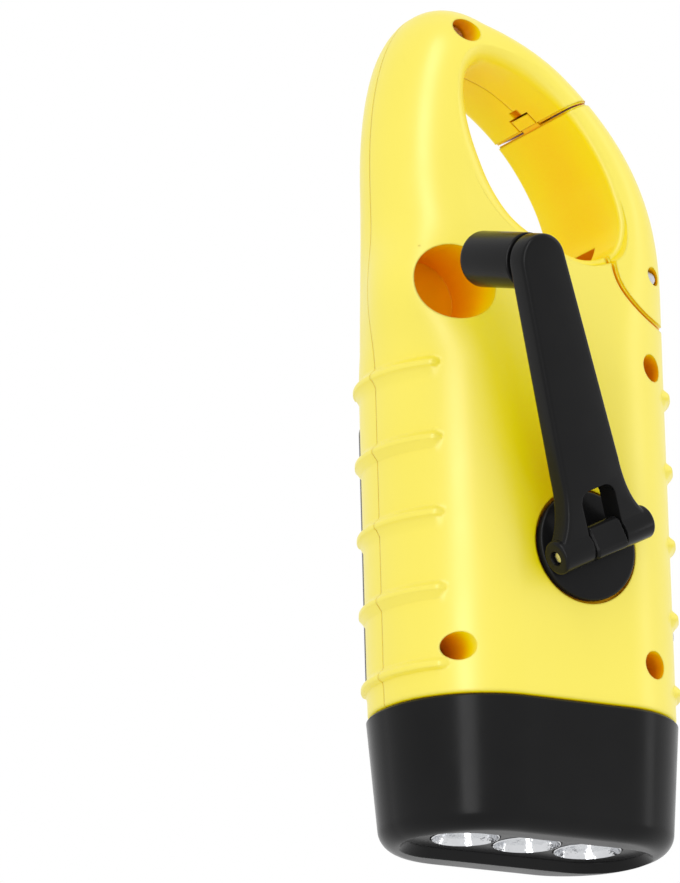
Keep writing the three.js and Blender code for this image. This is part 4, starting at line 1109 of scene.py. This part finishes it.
def make_lamp(number):
    low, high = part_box(f"led_{number}")
    profile = [(0, low.z)]
    for angle in quarter_turns(lamp_steps)[1:]:
        height = low.z + lamp_radius * (1 - math.cos(angle))
        profile.append((lamp_radius * math.sin(angle), height))
    seat = high.z - lamp_collar_height
    profile += [(lamp_radius, seat), (lamp_collar, seat), (lamp_collar, high.z), (0, high.z)]
    return turned("lamp", profile, "Z", (lamp_places[number - 1], 0, 0), small_sides)


def make_lens():
    """A slightly domed clear window in each cup."""
    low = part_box("lens")[0].z
    profile = []
    for angle in quarter_turns(window_steps):
        profile.append((window_reach * math.sin(angle), low - window_dome * math.cos(angle)))
    profile += [(window_reach, low + window_thickness), (0, low + window_thickness)]
    panes = [turned("pane", profile, "Z", (x, 0, 0)) for x in lamp_places]
    return join(*panes)


# Solar panel

def panel_outline(grow):
    half = panel_half + grow
    foot = panel_bottom - grow
    radius = panel_corner + grow / 2
    reach = (panel_half ** 2 + panel_sagitta ** 2) / (2 * panel_sagitta) + grow
    centre_z = panel_bottom + panel_corner_height + panel_sagitta + grow - reach
    corner_x = half - radius
    corner_z = centre_z + math.sqrt((reach - radius) ** 2 - corner_x ** 2)
    start = math.degrees(math.atan2(corner_z - centre_z, corner_x))
    return (
        arc(panel_x + corner_x, foot + radius, radius, -90, 0)
        + arc(panel_x + corner_x, corner_z, radius, 0, start)
        + arc(panel_x, centre_z, reach, start, 180 - start, panel_top_steps)[1:-1]
        + arc(panel_x - corner_x, corner_z, radius, 180 - start, 180)
        + arc(panel_x - corner_x, foot + radius, radius, 180, 270)
    )


def window_outline(shape, spread):
    """A window's outline; its shape is its half width, foot, height and corner radius."""
    half, foot, height, corner = shape
    left, right = window_x - (half + spread), window_x + (half + spread)
    low = foot - spread
    return round_box(left, right, low, low + (height + 2 * spread), corner + spread)


def between(outlines):
    """A solid through outlines in X and Z at their own Y, the first one at the highest Y."""
    return loft("between", [[(x, y, z) for x, z in outline] for y, outline in outlines])


def make_panel():
    """The panel's frame with a stepped window over the solar cell."""
    low = half_depth - panel_seat
    face = half_depth + panel_proud
    floor = face - tray_depth
    lip = panel_lip
    frame_plate = plate("panel", panel_outline(0), low, face, 0, panel_round)
    tray = [tray_half, panel_bottom + tray_foot, tray_height, tray_corner]
    window = [window_half, panel_bottom + window_foot, window_height, window_corner]
    tray_levels = [(face + overrun, lip), (face, lip), (face - lip, 0), (floor, -tray_slope)]
    window_levels = [(face, lip * 2), (floor, lip), (floor - lip, 0), (low - overrun, 0)]
    cell_levels = [(low + cell_depth, cell_spread), (low - overrun, cell_spread)]
    cuts = []
    for shape, levels in ((tray, tray_levels), (window, window_levels), (window, cell_levels)):
        cuts.append(between([(y, window_outline(shape, spread)) for y, spread in levels]))
    return cut(frame_plate, *cuts)


# Crank, built along +Z with its hub at the origin and its outer side towards -Y

crank_turn = Matrix.Translation((hub_x, 0, hub_z)) @ Matrix.Rotation(stowed_turn, 4, "Y").inverted()
arm_turn = crank_turn @ Matrix.Translation((0, -pin_rear, 0)) @ Matrix.Rotation(rest_tilt, 4, "X")


def at_crank(piece, turn):
    piece.data.transform(turn)
    return piece


def make_hub():
    """The disc with the hinge's knuckle, which is a square barrel with round corners."""
    high = half_depth - hub_recess + hub_thickness
    low = half_depth - hub_recess + gap
    disc = turned("hub", [(r, -h) for r, h in rounded(hub_radius, low, high, hub_edge)][::-1])
    size = barrel_radius
    outline = round_box(-pin_rear - size, -pin_rear + size, -size, size, knuckle_corner, knuckle_steps)
    stretch = pin_lift - size + knuckle_sink
    stretched = [(y if y < -pin_rear else y + stretch, z) for y, z in outline]
    half = knuckle_width / 2
    edge = knuckle_edge
    rings = []
    for x, inset in [(-half, edge), (-half + edge, 0), (half - edge, 0), (half, edge)]:
        rings.append([(x, y, z) for y, z in offset(stretched, -inset)])
    return cut(join(disc, loft("knuckle", rings)), hinge_bore((0, -pin_rear, 0)))


def hinge_bore(at):
    return rod("bore", pin_radius + gap, -hinge_width, hinge_width, "X", at, sides=small_sides)


def arm_outline():
    """The arm's outline, flaring at its root."""
    half = hinge_width / 2
    lean = math.degrees(math.asin((arm_root_half - arm_tip_radius) / (arm_length - arm_root_reach)))
    shoulder = []
    for i in range(shoulder_steps + 1):
        t = i / shoulder_steps
        first, middle, last = (1 - t) ** 2, 2 * t * (1 - t), t * t
        x = first * half + middle * arm_root_half + last * arm_root_half
        z = first * barrel_radius / 2 + middle * arm_flare_reach + last * arm_root_reach
        shoulder.append((x, z))
    tip = arc(0, arm_length, arm_tip_radius, lean, 180 - lean, tip_steps)
    return [(-half, 0), (half, 0)] + shoulder + tip + [(-x, z) for x, z in reversed(shoulder)]


def make_arm():
    """The arm with its hinge barrel, notched for the hub's knuckle."""
    half = arm_thickness / 2
    width = hinge_width / 2
    arm_plate = plate("arm", arm_outline(), -half, half, arm_round, arm_round, arm_edge_steps)
    barrel = rod("barrel", barrel_radius, -width, width, "X", edge=barrel_edge)
    notch_half = knuckle_width / 2 + gap
    corner = arm_notch_corner
    top = arm_notch_reach - corner
    outline = (
        [(-notch_half, -hinge_width), (notch_half, -hinge_width)]
        + arc(notch_half - corner, top, corner, 0, 90)
        + arc(-notch_half + corner, top, corner, 90, 180)
    )
    notch = plate("notch", outline, -arm_thickness, arm_thickness)
    return cut(join(arm_plate, barrel), notch, hinge_bore((0, 0, 0)))


def make_pin():
    half = hinge_width / 2 - pin_inset
    return rod("pin", pin_radius, -half, half, "X", edge=pin_edge, sides=pin_sides)


def make_knob():
    """The knob with a crisp root, a round end and a pocket for its screw."""
    low = arm_thickness / 2 + gap
    high = low + knob_length
    root = knob_root_edge
    profile = [(0, low), (knob_radius - root, low), (knob_radius, low + root)]
    for radius, y in rounded(knob_radius, low, high, knob_edge, knob_edge_steps):
        if y > low + knob_length / 2:
            profile.append((radius, y))
    spot = (0, 0, arm_length)
    knob = turned("knob", profile, at=spot)
    hole = rod("hole", knob_pocket, high - knob_pocket_depth, high + overrun, at=spot)
    bore = rod("bore", knob_bore, low - overrun, high, at=spot, sides=small_sides)
    return cut(knob, hole, bore)


# Button, with the gate and its pin

def make_button():
    """The button: a flange inside the casing and a domed cap."""
    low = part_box("power_button")[0].x - axis_x
    top = low + button_flange_height
    face = half_width + button_proud
    rise = button_proud * button_crown
    profile = [(0, low), (button_flange, low), (button_flange, top), (button_radius, top)]
    for angle in quarter_turns(button_steps):
        profile.append((button_radius * math.cos(angle), face - rise + rise * math.sin(angle)))
    return turned("button", profile, "X", button_axis)


def pin_space():
    far = half_depth
    return rod("bore", gate_pin_radius + gap, -far, far, at=gate_axis, sides=small_sides)


def make_gate(form):
    """The gate: its share of the whole form, the hook on its tip and a slot for the spring."""
    swinging = common(copied(form, "gate_form"), gate_region(0, 0))
    far = half_depth
    reach = rod("reach", tip_radius + latch_reach, -far, far, at=gate_axis, sides=fine_sides)
    tongue = common(latch(0, 0), common(reach, copied(form, "tongue_form")))
    slot = block(
        "slot",
        (pin_x - foot_radius * 2, -slot_half, pin_z - foot_radius * 2),
        (pin_x + foot_radius * 2, slot_half, pin_z + slot_rise),
    )
    return cut(join(swinging, tongue), slot, pin_space())


def button_space():
    inner = half_width - wall * 2
    outer = half_width + overrun
    dish_floor = half_width - button_dish_depth
    bore = rod("bore", button_radius + gap, inner, outer, "X", button_axis)
    dish = rod("dish", button_radius + button_dish_width, dish_floor, outer, "X", button_axis)
    pocket = rod("pocket", button_pocket, inner, half_width - wall, "X", button_axis)
    return join(bore, dish, pocket)


def make_gate_pin():
    """The gate's pin, with its ends just below the casing's face."""
    low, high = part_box("gate_pin")
    half = (high.y - low.y) / 2 + gate_pin_rise
    return rod("pin", gate_pin_radius, -half, half, at=gate_axis, edge=gate_pin_edge, sides=small_sides)


form, rear, front, bores = make_casing()
rear = cut(rear, button_space(), pin_space(), joint_groove(), catch_window(), *bores)
seat = plate("seat", panel_outline(gap), half_depth - panel_seat, half_depth + overrun)
front = cut(front, button_space(), pin_space(), joint_groove(), catch_window(), seat)
gate = cut(make_gate(form), joint_groove())
bpy.data.objects.remove(form)

fine_pieces = [
    (rear, "rear_shell", "casing", yellow),
    (front, "front_shell", "casing", yellow),
    (gate, "gate", "gate", yellow),
    (make_head(), "head_shroud", "casing", black),
    (make_lens(), "lens", "casing", lens_clear),
    (make_reflector(), "reflector", "casing", mirror),
    (make_panel(), "panel_frame", "casing", gloss_black),
    (at_crank(make_hub(), crank_turn), "crank_hub", "crank_hub", black),
    (at_crank(make_arm(), arm_turn), "crank_arm", "crank_arm", black),
    (at_crank(make_pin(), arm_turn), "crank_pin", "crank_arm", steel),
    (at_crank(make_knob(), arm_turn), "crank_knob", "crank_knob", black),
    (make_button(), "power_button", "power_button", black),
    (make_gate_pin(), "gate_pin", "casing", steel),
]
fine_pieces += [(make_lamp(i), f"led_{i}", "casing", lamp_clear) for i in (1, 2, 3)]
for piece, node, body, material in fine_pieces:
    place(turned_outwards(piece), node, body, material)
    smooth(piece)

cad_finish = [
    (cell_brown, ["solar_cell"]),
    (steel, ["gate_spring", "idler_axle", "gearbox_plate", "hub_screw", "knob_screw"]),
    (steel, ["screw_top", "screw_gate_side", "screw_lower_left", "screw_lower_right"]),
    (brass, ["generator_rotor"]),
    (gear_white, ["drive_gear", "idler_gear"]),
    (board_green, ["circuit_board", "led_board"]),
    (wrap_green, ["battery"]),
    (winding_red, ["generator"]),
    (black, ["power_switch"]),
]
for material, nodes in cad_finish:
    for node in nodes:
        coat(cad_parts[node], material)


# Floor, light and camera

def make_floor():
    """A pale floor that shows only from above, so that the object can be seen from below too."""
    half = floor_half
    corners = [(-half, -half, 0), (half, -half, 0), (half, half, 0), (-half, half, 0)]
    floor = made("floor", corners, [(0, 1, 2, 3)])
    floor.location.z = -floor_drop
    material, tree = empty_material("pale_floor")
    paint = add_node(tree, "ShaderNodeBsdfDiffuse", {"Color": floor_colour})
    nothing = add_node(tree, "ShaderNodeBsdfTransparent")
    below = add_node(tree, "ShaderNodeNewGeometry").outputs["Backfacing"]
    mix = add_node(tree, "ShaderNodeMixShader", {0: below, 1: paint.outputs[0], 2: nothing.outputs[0]})
    add_node(tree, "ShaderNodeOutputMaterial", {0: mix.outputs[0]})
    floor.data.materials.append(material)
    floor.visible_diffuse = False
    floor.visible_shadow = False
    floor.visible_glossy = False
    floor.visible_transmission = False


def make_world():
    """White light from all round, behind a plain white that is only seen."""
    world = bpy.data.worlds.new("studio")
    bpy.context.scene.world = world
    world.use_nodes = True
    tree = world.node_tree
    tree.nodes.clear()
    white = (1, 1, 1, 1)
    light = add_node(tree, "ShaderNodeBackground", {"Color": white, "Strength": world_strength})
    seen = add_node(tree, "ShaderNodeBackground", {"Color": white, "Strength": 1})
    path = add_node(tree, "ShaderNodeLightPath")
    sight = path.outputs["Is Camera Ray"]
    for kind in ("Is Glossy Ray", "Is Transmission Ray"):
        sight = worked_out(tree, "MAXIMUM", {0: sight, 1: path.outputs[kind]})
    mix = add_node(tree, "ShaderNodeMixShader", {0: sight, 1: light.outputs[0], 2: seen.outputs[0]})
    add_node(tree, "ShaderNodeOutputWorld", {0: mix.outputs[0]})


def way_to(azimuth, elevation):
    a, e = math.radians(azimuth), math.radians(elevation)
    return Vector((math.sin(a) * math.cos(e), -math.cos(a) * math.cos(e), math.sin(e)))


def area_light(name, azimuth, elevation, distance, width, height, power):
    """A lamp that looks at the object's middle; some only show as a reflection."""
    middle = (cad_low + cad_high) / 2
    data = bpy.data.lights.new(name, "AREA")
    data.shape = "RECTANGLE"
    data.size = width
    data.size_y = height
    data.energy = power
    lamp = bpy.data.objects.new(name, data)
    lamp.visible_diffuse = name not in reflection_lamps
    away = way_to(azimuth, elevation)
    lamp.location = middle + away * distance
    lamp.rotation_mode = "QUATERNION"
    lamp.rotation_quaternion = away.to_track_quat("Z", "Y")
    bpy.context.scene.collection.objects.link(lamp)


def make_camera():
    """The photograph's view: from below on the crank side, leaning a little."""
    back = way_to(camera_azimuth, camera_elevation)
    turn = math.radians(camera_azimuth)
    level = Vector((math.cos(turn), math.sin(turn), 0))
    up = back.cross(level)
    right = level * math.cos(camera_roll) - up * math.sin(camera_roll)
    upright = back.cross(right)
    foot = Vector((axis_x, seam_y, 0))
    across = (foot_pixel_x - frame_width / 2) / pixels_per_metre
    down = (foot_pixel_y - frame_height / 2) / pixels_per_metre
    target = foot - right * across + upright * down
    data = bpy.data.cameras.new("camera")
    data.sensor_width = camera_sensor
    data.lens = data.sensor_width * pixels_per_metre * camera_distance / frame_height
    camera = bpy.data.objects.new("camera", data)
    facing = Matrix((right, upright, back)).transposed().to_4x4()
    camera.matrix_world = Matrix.Translation(target + back * camera_distance) @ facing
    bpy.context.scene.collection.objects.link(camera)
    bpy.context.scene.camera = camera


make_floor()
make_world()
for name, numbers in studio_lamps.items():
    area_light(name, *numbers)
make_camera()
bpy.context.scene.view_settings.view_transform = "Standard"
